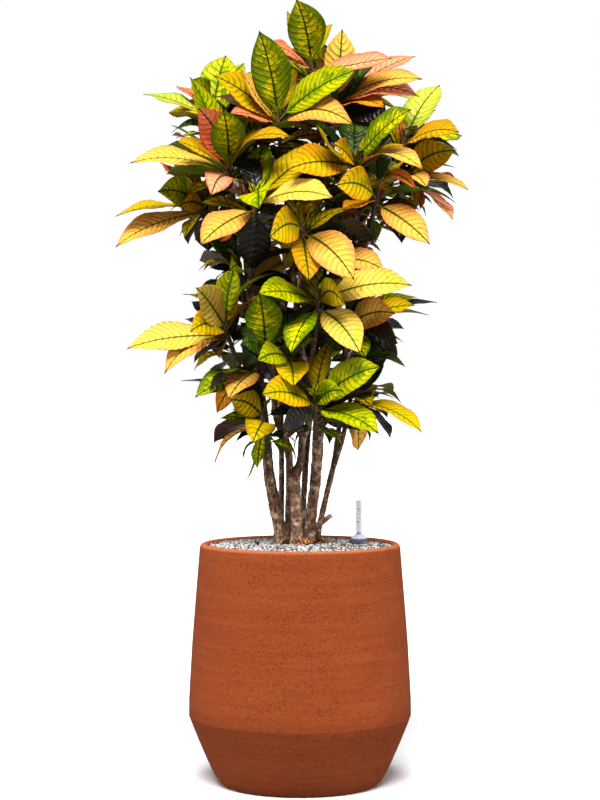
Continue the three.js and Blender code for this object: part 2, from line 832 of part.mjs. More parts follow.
// A leaf by the rule: round the shoot by the golden angle, the first ones steep, the last ones
// low. A shoot at the front turns these leaves to the back, where the listed ones leave room.
function drawnLeaf(shoot, index, draw) {
  const share = ((index % shoot.drawn) + 0.5) / shoot.drawn;
  const around = shoot.phase + index * degToRad(RULE.turn);
  const swing = ((around / (2 * Math.PI)) % 1) * 2 - 1;
  const bearing = shoot.leaves ? Math.PI / 2 + swing * degToRad(RULE.sweep) : around;
  const slope = degToRad(lerp(RULE.steep, RULE.low, share) + RULE.slopeSpread * draw());
  const way = new THREE.Vector3(
    Math.cos(bearing) * Math.cos(slope),
    Math.sin(bearing) * Math.cos(slope),
    Math.sin(slope),
  );
  const arch = RULE.arch + RULE.archSpread * draw();
  let length = RULE.length + RULE.lengthSpread * draw();
  const tipAt = () => shoot.tip.clone().addScaledVector(way, length);
  while (length > RULE.shortest && Math.hypot(tipAt().x, tipAt().y) > reachAt(tipAt().z)) {
    length -= RULE.trim;
  }
  return {
    root: rootOn(shoot, way.clone().multiplyScalar(length)),
    tip: tipAt(),
    width: Math.min(RULE.widthShare * length, RULE.widest),
    arch,
    stations: FEW_STATIONS,
    facing: new THREE.Vector3(0, 0, 1),
  };
}

// ---------------------------------------------------------------- keeping leaves apart
// A skin as plain triangles with its box; free is how many of its faces may touch the same shoot.
function obstacle(geometry, owner, free = 0) {
  const flat = geometry.toNonIndexed().getAttribute("position").array;
  geometry.computeBoundingBox();
  return { flat, box: geometry.boundingBox, owner, free };
}

const FLOATS = 9; // numbers in a triangle

// Whether the edge from p to q in edges passes through the triangle at t in faces.
function pierces(edges, p, q, faces, t) {
  const ax = faces[t];
  const ay = faces[t + 1];
  const az = faces[t + 2];
  const ux = faces[t + 3] - ax;
  const uy = faces[t + 4] - ay;
  const uz = faces[t + 5] - az;
  const vx = faces[t + 6] - ax;
  const vy = faces[t + 7] - ay;
  const vz = faces[t + 8] - az;
  const dx = edges[q] - edges[p];
  const dy = edges[q + 1] - edges[p + 1];
  const dz = edges[q + 2] - edges[p + 2];
  const hx = dy * vz - dz * vy;
  const hy = dz * vx - dx * vz;
  const hz = dx * vy - dy * vx;
  const det = ux * hx + uy * hy + uz * hz;
  if (Math.abs(det) < 1e-12) return false;
  const sx = edges[p] - ax;
  const sy = edges[p + 1] - ay;
  const sz = edges[p + 2] - az;
  const u = (sx * hx + sy * hy + sz * hz) / det;
  if (u < 0 || u > 1) return false;
  const kx = sy * uz - sz * uy;
  const ky = sz * ux - sx * uz;
  const kz = sx * uy - sy * ux;
  const v = (dx * kx + dy * ky + dz * kz) / det;
  if (v < 0 || u + v > 1) return false;
  const along = (vx * kx + vy * ky + vz * kz) / det;
  return along >= 0 && along <= 1;
}

// Whether the edge from p to q misses a box altogether.
function misses(edges, p, q, { min, max }) {
  return (
    Math.max(edges[p], edges[q]) < min.x ||
    Math.min(edges[p], edges[q]) > max.x ||
    Math.max(edges[p + 1], edges[q + 1]) < min.y ||
    Math.min(edges[p + 1], edges[q + 1]) > max.y ||
    Math.max(edges[p + 2], edges[q + 2]) < min.z ||
    Math.min(edges[p + 2], edges[q + 2]) > max.z
  );
}

// Whether an edge of skin a passes through a face of skin b.
function cuts(a, b) {
  const own = a.owner === b.owner;
  for (let face = own ? a.free * FLOATS : 0; face < a.flat.length; face += FLOATS) {
    for (let corner = 0; corner < 3; corner++) {
      const p = face + corner * 3;
      const q = face + ((corner + 1) % 3) * 3;
      if (misses(a.flat, p, q, b.box)) continue;
      for (let t = own ? b.free * FLOATS : 0; t < b.flat.length; t += FLOATS) {
        if (pierces(a.flat, p, q, b.flat, t)) return true;
      }
    }
  }
  return false;
}

const STALK_FACES = 12;
const SPARE = 1.2;
// A leaf that would cross what is there already is rolled, then bent up or down, back or forth.
const ROLLS = [0, 18, -18];
const LIFTS = [0, 12, -12];
const SWAYS = [0, 14, -14, 28, -28, 45, -45];
const SHARES = [1, 0.86, 0.72];

function* variants(leaf) {
  const chord = leaf.tip.clone().sub(leaf.root);
  for (const share of SHARES) {
    for (const roll of ROLLS) {
      for (const lift of LIFTS) {
        for (const sway of SWAYS) {
          const reach = chord.clone().add(new THREE.Vector3(0, sway, lift));
          reach.setLength(chord.length() * share);
          const axis = reach.clone().normalize();
          yield {
            ...leaf,
            tip: leaf.root.clone().add(reach),
            width: leaf.width * share,
            facing: squareTo(leaf.facing, axis).applyAxisAngle(axis, degToRad(roll)),
          };
        }
      }
    }
  }
}

// The first variant of the leaf that is clear of the obstacles, or nothing.
function bentClear(leaf, owner, obstacles) {
  for (const variant of variants(leaf)) {
    const skin = obstacle(leafSkin(variant, SPARE), owner, STALK_FACES);
    const near = obstacles.filter((other) => other.box.intersectsBox(skin.box));
    if (!near.some((other) => cuts(skin, other) || cuts(other, skin))) return variant;
  }
  return null;
}

// ---------------------------------------------------------------- the plant
const shoots = [...SHOOTS, ...REAR_SHOOTS].map((shoot, i) => ({
  ...shoot,
  ...branchOf(shoot),
  phase: i,
}));

const obstacles = [];
for (const [name, routes] of Object.entries(STEMS)) {
  for (const route of routes) obstacles.push(obstacle(limb(route, STEM.sides), name));
}
for (const shoot of shoots) {
  obstacles.push(obstacle(branchLimb(shoot), shoot.stem));
  const limbFaces = obstacle(shootLimb(shoot), shoot.name);
  obstacles.push({ ...limbFaces, free: limbFaces.flat.length / FLOATS });
}

const draw = seeded(RULE.seed);
const grown = new Map(shoots.map((shoot) => [shoot.name, []]));

// Adds the leaf to its shoot where it can be bent clear, and says whether it could.
function grow(shoot, leaf) {
  const others = obstacles.filter(({ owner }) => owner !== shoot.name);
  const placed =
    bentClear(leaf, shoot.name, obstacles) ?? bentClear(leaf, shoot.name, others);
  if (!placed) return false;
  grown.get(shoot.name).push(placed);
  obstacles.push(obstacle(leafSkin(placed), shoot.name, STALK_FACES));
  return true;
}

for (const shoot of shoots) {
  for (const row of shoot.leaves ?? []) grow(shoot, listedLeaf(shoot, row));
}
for (const shoot of shoots) {
  let missing = shoot.drawn;
  for (let index = 0; missing > 0 && index < RULE.tries * shoot.drawn; index++) {
    if (grow(shoot, drawnLeaf(shoot, index, draw))) missing -= 1;
  }
}

const joined = (solids) => solids.reduce((whole, solid) => whole.add(solid));

function stemSolid(name) {
  const branches = shoots.filter((shoot) => shoot.stem === name);
  return joined([
    ...STEMS[name].map((route) => solidOf(limb(route, STEM.sides))),
    ...branches.map((shoot) => solidOf(branchLimb(shoot))),
  ]);
}

function shootSolid(shoot) {
  return joined([
    solidOf(shootLimb(shoot)),
    ...grown.get(shoot.name).map((leaf) => solidOf(leafSkin(leaf))),
  ]);
}

// ---------------------------------------------------------------- the group
const group = new THREE.Group();

function place(name, geometry, colour, roughness = 0.6, metalness = 0) {
  const material = new THREE.MeshStandardMaterial({ color: colour, roughness, metalness });
  const mesh = new THREE.Mesh(geometry, material);
  mesh.name = name;
  group.add(mesh);
}

const sockets = [
  ...Object.values(STEMS)
    .flat()
    .map((route) => solidOf(limb(route, STEM.sides, STEM.socket))),
  gaugeHole(),
];

place("pot", pot(), COLOURS.clay, 0.85);
place("growing_substrate", geometryOf(substrate(sockets)), COLOURS.soil, 1);
place("gravel_topping", geometryOf(gravel(sockets)), COLOURS.gravel, 0.7);
place("gauge_tube", gaugeTube(), COLOURS.clear, 0.1);
place("gauge_collar", gaugeCollar(), COLOURS.cone, 0.25);
place("gauge_sleeve", gaugeSleeve(), COLOURS.clear, 0.4);
place("gauge_float", gaugeFloat(), COLOURS.float, 0.4);
for (const name of Object.keys(STEMS)) {
  place(`stem_${name}`, geometryOf(stemSolid(name)), COLOURS.bark, 0.9);
}
for (const shoot of shoots) {
  place(`leafy_shoot_${shoot.name}`, geometryOf(shootSolid(shoot)), COLOURS[shoot.colour], 0.4);
}

export default group;
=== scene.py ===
"""Looks of a potted croton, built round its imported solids. Metres, +Z up, the front towards -Y."""

import json
import logging
import math
from collections.abc import Iterator, Sequence
from dataclasses import dataclass, field, replace
from enum import Enum

import bpy
import numpy as np
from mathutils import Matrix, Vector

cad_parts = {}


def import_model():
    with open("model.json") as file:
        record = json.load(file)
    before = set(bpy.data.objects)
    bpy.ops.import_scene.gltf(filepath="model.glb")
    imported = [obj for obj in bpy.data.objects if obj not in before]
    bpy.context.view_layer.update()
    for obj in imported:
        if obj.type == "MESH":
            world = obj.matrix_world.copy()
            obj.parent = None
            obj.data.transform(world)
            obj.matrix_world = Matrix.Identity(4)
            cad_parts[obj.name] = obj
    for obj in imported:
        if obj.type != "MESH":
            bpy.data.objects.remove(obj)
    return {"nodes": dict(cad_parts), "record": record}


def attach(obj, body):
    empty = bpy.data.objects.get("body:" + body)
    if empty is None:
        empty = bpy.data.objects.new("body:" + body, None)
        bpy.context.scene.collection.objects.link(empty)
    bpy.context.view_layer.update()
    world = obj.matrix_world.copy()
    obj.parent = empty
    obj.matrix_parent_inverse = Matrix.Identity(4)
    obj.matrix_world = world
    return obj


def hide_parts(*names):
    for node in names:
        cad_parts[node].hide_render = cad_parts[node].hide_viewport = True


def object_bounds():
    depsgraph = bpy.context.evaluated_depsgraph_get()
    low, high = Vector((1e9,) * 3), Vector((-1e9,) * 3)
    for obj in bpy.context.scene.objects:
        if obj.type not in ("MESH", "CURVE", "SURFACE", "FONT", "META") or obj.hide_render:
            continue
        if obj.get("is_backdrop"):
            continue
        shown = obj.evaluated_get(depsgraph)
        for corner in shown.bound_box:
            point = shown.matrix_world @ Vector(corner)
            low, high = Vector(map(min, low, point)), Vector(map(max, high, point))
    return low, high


MM = 0.001
ROOT = "root"
log = logging.getLogger("croton")

Array = np.ndarray
Station = tuple[float, float, float, float]
Route = tuple[Station, ...]
Socket = bpy.types.NodeSocket


# ---------------------------------------------------------------- sizes, in millimetres
@dataclass(frozen=True)
class PotSizes:
    """The clay pot, as its solid has it."""

    height: float = 400
    foot_radius: float = 128
    shoulder_radius: float = 185
    shoulder_height: float = 114
    band_height: float = 25
    rim_radius: float = 167.3
    wall: float = 15
    floor: float = 20


@dataclass(frozen=True)
class FillSizes:
    """The gravel on top of what fills the pot."""

    gravel_foot: float = 386.3
    gravel_top: float = 396
    crown: float = 3.7
    radius: float = 151.2
    seed: int = 11


@dataclass(frozen=True)
class GaugeSizes:
    """The water gauge beside the stems."""

    x: float = 98.7
    y: float = 15
    top: float = 471
    tube_radius: float = 5.65
    tube_wall: float = 1.2
    cone_foot: float = 400
    cone_radius: float = 16.5
    cone_height: float = 13
    float_radius: float = 2.35
    float_top: float = 416


@dataclass(frozen=True)
class BranchSizes:
    """How a shoot's branch leaves its stem."""

    rise: float = 135
    sag: float = 0.35
    ease: float = 0.25
    share: float = 0.8
    sides: int = 5
    steps: int = 2


@dataclass(frozen=True)
class ShootSizes:
    """The green twig that carries a whorl of leaves."""

    length: float = 62
    foot_radius: float = 4.2
    tip_radius: float = 2.9
    bud_length: float = 11
    bud_radius: float = 0.7
    neck: float = 2
    root_share: float = 0.58
    roots_above: float = 6
    roots_below: float = 14
    roots_spread: float = 160
    sides: int = 4


@dataclass(frozen=True)
class LeafSizes:
    """A leaf, from the shoot to its tip."""

    stalk_share: float = 0.12
    stalk_width: float = 2.4
    midrib_thickness: float = 2.4
    fold: float = 0.16
    wave: float = 2.6
    arch_forward: float = 0.35
    slim: float = 46


@dataclass(frozen=True)
class RuleSizes:
    """How leaves that were not read off one by one are placed; angles in degrees."""

    turn: float = 137.5
    sweep: float = 75
    steep: float = 50
    low: float = -28
    slope_spread: float = 16
    arch: float = 8
    arch_spread: float = 14
    length: float = 128
    length_spread: float = 36
    shortest: float = 70
    trim: float = 6
    width_share: float = 0.4
    widest: float = 56
    tries: int = 3
    seed: int = 7


@dataclass(frozen=True)
class DeepSizes:
    """The old leaves deep in the crown; angles in degrees, but phase_turn in radians."""

    count: int = 21
    highest: float = 12
    lowest: float = 46
    phase_turn: float = 2.3
    sweep: float = 105
    steep: float = 48
    low: float = -42
    slope_spread: float = 14
    arch: float = 6
    arch_spread: float = 12
    length: float = 88
    length_spread: float = 46
    shortest: float = 60
    width_share: float = 0.42
    reach: float = 0.86
    floor: float = 590
    lighter_above: float = 900
    seed: int = 29


GAP = 0.3
STEM_SIDES = 6
POT = PotSizes()
FILL = FillSizes()
GAUGE = GaugeSizes()
BRANCH = BranchSizes()
SHOOT = ShootSizes()
LEAF = LeafSizes()
RULE = RuleSizes()
DEEP = DeepSizes()

# Where a blade is measured, as shares of its length, and its half width there.
STATIONS = ((0.34, 0.84), (0.6, 1.0), (0.84, 0.6))
FEW_STATIONS = ((0.38, 0.94), (0.74, 0.86))

# How far from the plant's axis the crown reaches at each height.
CROWN_REACH = (
    (520, 100), (600, 160), (700, 215), (800, 225), (860, 135),
    (905, 140), (950, 250), (1080, 265), (1180, 180), (1290, 60),
)

# A leaf that would cross what is there already is made smaller, rolled, lifted and swayed.
SHARES = (1, 0.86, 0.72)
ROLLS = (0, 18, -18)
LIFTS = (0, 12, -12)
SWAYS = (0, 14, -14, 28, -28, 45, -45)
STALK_FACES = 12
SPARE = 1.2


# ---------------------------------------------------------------- the leaves' colourings
class Tint(Enum):
    """The colourings that a croton's leaves pass through, from young to old, and in the shade."""

    LIME = "lime"
    YELLOW = "yellow"
    GOLD = "gold"
    PALE = "pale"
    PEACH = "peach"
    PINK = "pink"
    SALMON = "salmon"
    EMBER = "ember"
    ORANGE = "orange"
    TAN = "tan"
    OLIVE = "olive"
    GREEN = "green"
    FRESH = "fresh"
    DARK = "dark"
    BLACK = "black"
    PURPLE = "purple"
    BROWN = "brown"


(
    LIME, YELLOW, GOLD, PALE, PEACH, PINK, SALMON, EMBER, ORANGE,
    TAN, OLIVE, GREEN, FRESH, DARK, BLACK, PURPLE, BROWN,
) = Tint  # fmt: skip


@dataclass(frozen=True)
class LeafColours:
    """What one colouring looks like, as sRGB hex; mottled is how much of the blade is mottled."""

    ground: str
    margin: str
    mottle: str
    vein: str
    midrib: str
    under: str
    mottled: float


LEAF_COLOURS = {
    LIME: LeafColours("BEBA00", "9EA200", "708800", "466000", "1E4604", "808610", 0.44),
    YELLOW: LeafColours("D2AC04", "D09406", "B4A800", "6E6800", "204604", "988014", 0.32),
    GOLD: LeafColours("D0980C", "CE840C", "C4A808", "6E5800", "20400A", "946A20", 0.30),
    PALE: LeafColours("EECA54", "EAB648", "DCC630", "908424", "28500A", "B09850", 0.28),
    PEACH: LeafColours("EEB044", "EC8C48", "ECC444", "9C7430", "283C0A", "B07C48", 0.28),
    PINK: LeafColours("F09C70", "EA6C50", "F4BC6C", "A4603C", "34360C", "B07058", 0.30),
    SALMON: LeafColours("F07C50", "E85838", "F29C58", "A85030", "34200A", "B45C48", 0.28),
    EMBER: LeafColours("E07C2C", "CC5A1C", "E89C34", "904414", "2C180A", "8C4828", 0.27),
    ORANGE: LeafColours("E08C0C", "DC6A14", "E8AC14", "84580A", "242808", "A06020", 0.30),
    TAN: LeafColours("D89C38", "CC7434", "E0B044", "805E20", "30280A", "906C48", 0.30),
    OLIVE: LeafColours("B89A02", "8E7800", "D8B408", "524E02", "1A2C06", "746820", 0.42),
    GREEN: LeafColours("748600", "527000", "D8C804", "304E00", "123404", "5C6618", 0.44),
    FRESH: LeafColours("C0C83C", "98A828", "DCD850", "80902C", "3A6418", "98A450", 0.35),
    DARK: LeafColours("283E04", "182A04", "5A6C04", "142A02", "0A1A03", "242C0C", 0.28),
    BLACK: LeafColours("100F09", "0A0A06", "1A1A10", "1C1C12", "070705", "1C1812", 0.30),
    PURPLE: LeafColours("241710", "180E08", "3A281C", "36281C", "120A06", "2C1E16", 0.30),
    BROWN: LeafColours("44240E", "301808", "623A14", "543016", "1A0D05", "3C2414", 0.35),
}
OLD_TINTS = (DARK, BLACK, PURPLE, BROWN)
# What the leaves placed by the rule may be, inside the crown and at its back.
INNER_TINTS = (DARK, OLIVE, GREEN, BROWN, BLACK, DARK, OLIVE, YELLOW, GOLD, DARK)
REAR_TINTS = (LIME, YELLOW, GOLD, GREEN, OLIVE, YELLOW, PEACH, OLIVE, GOLD, ORANGE)
DEEP_TINTS = (DARK, BLACK, DARK, GREEN, DARK, BROWN, BLACK, OLIVE, DARK, GREEN)
HIGH_TINTS = (OLIVE, GREEN, DARK, GOLD, OLIVE, BROWN, GREEN, YELLOW, DARK, OLIVE)


# ---------------------------------------------------------------- stems and shoots
@dataclass(frozen=True)
class Shoot:
    """A whorl of leaves: its growing tip and its leaves, in the order of the solids.

    leaves holds, seen from the front, each tip's place from the growing tip (across, up, back), the
    blade's width, how far it arches, which way its upper face looks (0 up, 90 to the front, below
    0 away), its colouring and, where it needs one, a turn to the right.
    """

    name: str
    stem: str
    at: tuple[float, float, float]
    drawn: int
    leaves: tuple[tuple, ...] = ()


# The trunks, from the foot upwards: x, y, z, radius. Further routes are forks and stubs.
STEMS = {
    "left": (
        ((-32, 0, 325, 11), (-32, 0, 405, 10.5), (-44, 0, 472, 10), (-50, 0, 505, 9.2),
         (-57, 0, 572, 8.3), (-65, 2, 647, 7.8), (-74, 5, 735, 7), (-88, 2, 860, 6),
         (-89, -5, 940, 5.4), (-95, 0, 1020, 4),),
    ),
    "back": (
        ((-32, 36, 325, 5), (-32, 36, 405, 4.8), (-31, 36, 540, 4.6), (-33, 42, 680, 4.4),
         (-28, 55, 850, 4), (-20, 60, 930, 3.8),),
    ),
    "centre": (
        ((-5, -10, 325, 10), (-5, -10, 405, 9.5), (-8, -10, 500, 8.7), (1, -9, 538, 6.2),
         (4, -8, 572, 6.3), (14, -8, 605, 5.2), (12, -22, 680, 5), (0, -30, 740, 5),
         (-15, -25, 900, 4.6), (-25, -20, 990, 4.2), (-33, -30, 1030, 3.8),),
        ((-21, 14, 325, 5), (-21, 14, 405, 5), (-18, -5, 490, 5.6), (-18, -11, 538, 6),
         (-24, -14, 572, 6.6), (-38, -18, 605, 5.4), (-43, -26, 640, 4.8),),
    ),
    "inner": (
        ((3, 20, 325, 5.5), (3, 20, 405, 5.2), (8, 22, 505, 5), (13, 22, 572, 4.6),
         (18, 34, 615, 4.3), (20, 48, 665, 4),),
    ),
    "right": (
        ((17, 5, 325, 9.5), (15, 5, 405, 9.3), (26, 5, 505, 9), (30, 5, 572, 9.4),
         (33, 5, 605, 9), (40, 5, 671, 8), (50, 2, 755, 7.2), (55, 0, 830, 6.5),
         (48, 5, 930, 5.8), (45, 5, 1000, 5.2), (36, 4, 1075, 4.4),),
        ((18, 4, 420, 5), (40, -8, 438, 4.6), (52, -12, 447, 3.6),),
    ),
    "slender": (
        ((30, 24, 325, 5), (30, 24, 405, 4.8), (43, 24, 472, 4.8), (58, 22, 538, 4.6),
         (67, 22, 605, 4.4), (75, 20, 672, 4.4), (85, 20, 770, 4.7), (91, 20, 893, 5),
         (100, 12, 960, 4.6),),
    ),
}  # fmt: skip

SHOOTS = (
    Shoot("upper_01", "left", (-115, -90, 1010), 2, (
        (-60, 155, 0, 65, 0, 35, LIME, 40), (-45, 90, -95, 60, 10, 70, SALMON),
        (-80, 40, -90, 45, 6, 45, GOLD), (-105, 50, 60, 55, 0, -40, GREEN),
        (-100, 60, 75, 60, 12, 15, TAN), (-155, 10, -65, 70, 14, 30, PALE),
        (-105, 5, 60, 50, 0, -25, GREEN), (-25, -45, -80, 45, 12, 75, PINK),
        (-5, 85, -105, 55, 7, 60, GREEN), (55, 95, 85, 60, 0, -15, DARK),
        (100, 50, -75, 50, 26, 35, GOLD), (-20, 125, 50, 55, 0, -5, BROWN),
    )),
    Shoot("upper_02", "centre", (-35, -60, 1090), 3, (
        (-30, 140, -75, 65, 7, 60, GREEN), (-100, 70, -75, 65, 7, 55, YELLOW),
        (20, 105, 65, 55, 5, -20, OLIVE), (125, 80, -65, 65, 10, 55, LIME),
        (-5, 40, 90, 60, 42, 45, GOLD), (-55, 80, -75, 45, -10, 75, PEACH, 75),
        (-75, 10, -90, 50, 6, 45, SALMON), (120, -10, -85, 55, 26, 60, PEACH),
        (80, 5, 60, 55, 7, 50, OLIVE),
    )),
    Shoot("upper_03", "right", (20, 0, 1185), 3, (
        (-25, 105, -75, 65, 5, 65, GREEN), (-40, 110, 45, 55, 5, -5, OLIVE),
        (-70, 35, -90, 35, 4, 55, SALMON), (-55, 10, -85, 50, 4, 45, PINK),
        (15, -15, -80, 35, 12, 85, BROWN), (130, 15, -60, 55, 0, 45, PINK),
    )),
    Shoot("upper_04", "slender", (90, -90, 1020), 4, (
        (85, 80, -90, 65, 10, 50, GREEN), (55, 75, 60, 50, 5, -5, SALMON),
        (-60, 60, -85, 45, -17, 55, OLIVE, 75), (-35, 60, 50, 15, 0, 25, EMBER, 75),
        (-35, 25, -80, 40, 7, 70, GOLD), (105, -15, -85, 60, 26, 25, PEACH),
        (-110, -15, -90, 65, 10, 65, GOLD),
    )),
    Shoot("upper_05", "left", (-70, -130, 955), 2, (
        (5, 75, 65, 45, 0, -50, PURPLE), (10, 105, 60, 50, 5, -20, GREEN),
        (5, -15, -100, 65, 26, 90, LIME), (120, 5, -80, 65, 12, 45, PALE),
        (-85, -70, -90, 60, 8, 45, PEACH), (120, 100, 45, 65, 10, 35, OLIVE),
        (-65, -55, 80, 50, 0, 50, EMBER), (-35, -55, 80, 45, 0, 50, YELLOW),
        (-10, -100, 60, 55, -6, -30, BLACK),
    )),
    Shoot("upper_06", "left", (-160, -20, 960), 3, (
        (-75, 80, 70, 55, 7, -5, EMBER), (-140, -20, -65, 55, 10, 15, YELLOW),
        (-65, 15, -105, 55, 10, 80, LIME), (-140, -70, -70, 65, 10, 30, PEACH),
        (-80, -35, 70, 40, 5, -5, BLACK), (-30, -5, -80, 35, 7, 90, GOLD),
        (-35, -40, 50, 15, 0, 50, PALE), (-30, -55, -60, 30, 10, -20, OLIVE),
        (-25, -65, -65, 35, 6, -35, BLACK), (5, -70, 70, 45, 0, -30, PURPLE),
    )),
    Shoot("upper_07", "slender", (125, -80, 970), 4, (
        (80, -80, -85, 50, 10, 70, PEACH), (45, -70, 70, 50, 10, 0, BLACK),
        (-65, 10, -90, 55, 10, 85, YELLOW), (-50, -20, -55, 40, 1, 20, ORANGE),
        (60, 5, -80, 35, 31, 40, EMBER),
    )),
    Shoot("upper_08", "centre", (5, -120, 920), 3, (
        (-50, -25, -95, 60, 12, 95, YELLOW), (80, -90, -80, 65, 14, 75, PEACH),
        (-35, -65, 80, 50, 5, 60, OLIVE), (15, 30, -60, 25, 5, 65, OLIVE),
        (-10, 30, -50, 25, 5, 55, OLIVE), (120, -20, 65, 60, 7, -30, BLACK),
        (10, -90, -70, 50, 6, -25, GOLD),
    )),
    Shoot("upper_09", "slender", (170, -10, 1060), 3, (
        (65, 110, 50, 60, 7, 25, FRESH), (-10, 50, -30, 15, 0, 40, SALMON),
        (85, 15, -95, 55, 10, 50, GOLD), (105, 25, 65, 55, 10, 50, GREEN),
        (100, -5, 75, 50, 7, 0, FRESH), (60, 65, 80, 50, 7, -10, GREEN),
        (-35, 60, 70, 45, 5, -15, EMBER),
    )),
    Shoot("upper_10", "slender", (180, 20, 1010), 3, (
        (70, 35, -90, 55, 12, 85, YELLOW), (85, 10, 70, 40, 7, 15, SALMON),
        (95, -25, -85, 45, 10, 20, PEACH), (75, -10, 85, 45, 7, -20, BLACK),
        (30, -25, -95, 40, 14, 30, PEACH), (10, -45, -65, 35, 12, -45, TAN),
        (20, -55, -60, 30, 7, -20, ORANGE), (70, -75, -85, 55, 12, -10, PINK),
        (-70, -5, -75, 45, 7, -70, FRESH),
    )),
    Shoot("upper_11", "right", (60, 20, 1130), 2, (
        (10, 125, -20, 55, 5, 40, PALE), (135, 90, 35, 60, 10, 25, PINK),
        (140, 35, -80, 55, 14, 45, PEACH), (135, 10, -60, 65, 22, 40, PINK),
        (140, 15, 45, 65, 17, 25, FRESH), (110, 5, 70, 55, 12, 35, OLIVE),
        (80, -10, -75, 50, 12, 35, ORANGE), (85, -30, -85, 55, 10, -105, BLACK),
    )),
    Shoot("upper_12", "left", (-145, 0, 1105), 3, (
        (-120, 50, 50, 50, 7, 20, FRESH), (-80, 25, 85, 50, 7, 55, OLIVE),
        (-65, 70, 80, 45, 5, -5, SALMON), (20, 115, 40, 65, 5, 25, LIME),
        (50, 105, 60, 55, 5, 10, LIME), (-25, 55, -85, 50, 5, 70, GREEN, 30),
    )),
    Shoot("lower_01", "left", (-120, -40, 750), 3, (
        (-160, -25, -60, 65, 10, 45, PALE), (-100, -65, -65, 60, 22, 25, PEACH),
        (-55, 0, -95, 50, 14, 70, YELLOW), (-45, 70, -100, 60, 7, 65, PALE),
        (-40, -25, -70, 40, 1, -30, BROWN), (-25, -30, 70, 30, 5, 0, BROWN),
        (-15, -45, -75, 30, 5, -60, BROWN), (15, 105, -55, 50, 7, 40, LIME),
        (50, 60, -65, 40, 5, 30, ORANGE),
    )),
    Shoot("lower_02", "centre", (-55, -90, 710), 2, (
        (-10, 100, -70, 60, 10, 55, GREEN), (-45, 25, -85, 45, 10, 70, DARK),
        (30, 45, 70, 40, 5, 40, DARK), (-45, -5, 90, 40, 5, 80, DARK),
    )),
    Shoot("lower_03", "centre", (30, -90, 800), 3, (
        (-35, 70, 85, 50, 5, -35, OLIVE), (-95, 10, -95, 60, 7, 50, LIME),
        (-70, 45, 75, 40, 7, 0, YELLOW), (40, -10, -80, 45, 22, 95, OLIVE),
        (65, -85, -90, 60, 12, 60, PALE), (-45, -85, -80, 55, 12, -10, GREEN),
        (145, 25, -85, 65, 12, 55, PALE), (-5, -55, 70, 45, 5, -30, PURPLE),
    )),
    Shoot("lower_04", "right", (25, -85, 630), 3, (
        (-85, 20, -100, 60, 12, 60, YELLOW), (-10, 60, 40, 40, 2, -40, DARK),
        (100, 65, -90, 65, 7, 60, LIME), (40, 25, -80, 40, 10, 75, LIME),
        (100, -40, -95, 65, 14, 30, LIME), (75, -40, 85, 50, 5, -55, BLACK),
        (-55, -35, -75, 45, 7, -75, BLACK), (-20, -25, 50, 25, 2, 70, GREEN),
    )),
    Shoot("lower_05", "left", (-60, -60, 610), 1, (
        (-50, 30, -85, 45, 10, 85, OLIVE), (-15, -35, -90, 50, 12, 75, OLIVE),
        (-85, -40, 75, 50, 12, -25, BROWN), (-80, -75, 55, 45, 17, 20, TAN),
        (-10, -80, -50, 25, 2, -25, GREEN), (-25, -105, 40, 40, 0, 50, OLIVE, 60),
        (-60, -15, 70, 30, 13, 35, ORANGE),
    )),
    Shoot("lower_06", "left", (-70, -40, 695), 2, (
        (-45, -50, -90, 50, 10, 25, PEACH), (-100, -50, -65, 60, 10, 35, GREEN),
        (-75, -40, -90, 50, 16, -20, BLACK), (-70, -80, 40, 35, 12, 70, ORANGE),
    )),
    Shoot("lower_07", "slender", (85, 0, 645), 4, (
        (115, -55, -80, 65, 13, 10, YELLOW), (65, -65, -80, 55, 14, -25, BLACK),
        (30, 5, 50, 15, 2, 50, FRESH), (30, -15, -85, 40, 10, 30, OLIVE),
        (65, -35, 75, 40, 10, 0, BLACK), (15, -95, 65, 50, 7, 45, PEACH),
        (10, -65, -75, 45, 7, -60, GREEN),
    )),
    Shoot("lower_08", "left", (-100, -35, 855), 3, (
        (-10, -5, -90, 35, 11, 85, GREEN), (-70, 20, 100, 50, 4, -55, BROWN),
    )),
    Shoot("lower_09", "slender", (75, -30, 755), 2, (
        (120, 60, 55, 65, 10, 15, LIME), (155, 50, 50, 60, 10, 10, PURPLE),
        (75, 25, -100, 55, 10, 75, PEACH), (110, 40, -70, 50, 10, 45, YELLOW),
        (140, 30, 50, 55, 12, 5, LIME), (85, -25, -80, 55, 10, -95, BLACK),
        (100, 5, 65, 45, 7, -25, BLACK), (90, -50, 65, 45, 14, 0, BROWN),
        (-20, -35, -90, 45, 7, 15, DARK), (30, -45, -95, 45, 7, 45, GREEN),
    )),
    Shoot("lower_10", "centre", (-20, -60, 710), 1, (
        (10, -45, -95, 55, 10, 30, YELLOW), (-50, -5, -95, 45, 11, 75, LIME),
        (-15, 85, 85, 35, -1, -15, DARK, 40),
    )),
    Shoot("lower_11", "right", (40, -40, 865), 5, (
        (95, -15, -80, 55, 12, 50, PEACH), (35, -30, -65, 50, 5, -25, GREEN),
    )),
    Shoot("rear_01", "left", (-75, 95, 1080), 7),
    Shoot("rear_02", "right", (50, 100, 1115), 7),
    Shoot("rear_03", "slender", (130, 105, 1030), 7),
    Shoot("rear_04", "left", (-125, 90, 1005), 7),
    Shoot("rear_05", "back", (0, 135, 1000), 7),
    Shoot("rear_06", "back", (-10, 110, 905), 7),
    Shoot("rear_07", "slender", (80, 95, 935), 7),
    Shoot("rear_08", "back", (-60, 90, 785), 7),
    Shoot("rear_09", "inner", (45, 95, 735), 7),
    Shoot("rear_10", "inner", (-15, 95, 690), 7),
)  # fmt: skip


# ---------------------------------------------------------------- vectors
def unit(vector: Array) -> Array:
    """The vector at length 1."""
    return vector / math.sqrt(vector @ vector)


def square_to(direction: Array, axis: Array) -> Array:
    """The part of a direction that is square to a unit axis, at length 1."""
    return unit(direction - axis * (direction @ axis))


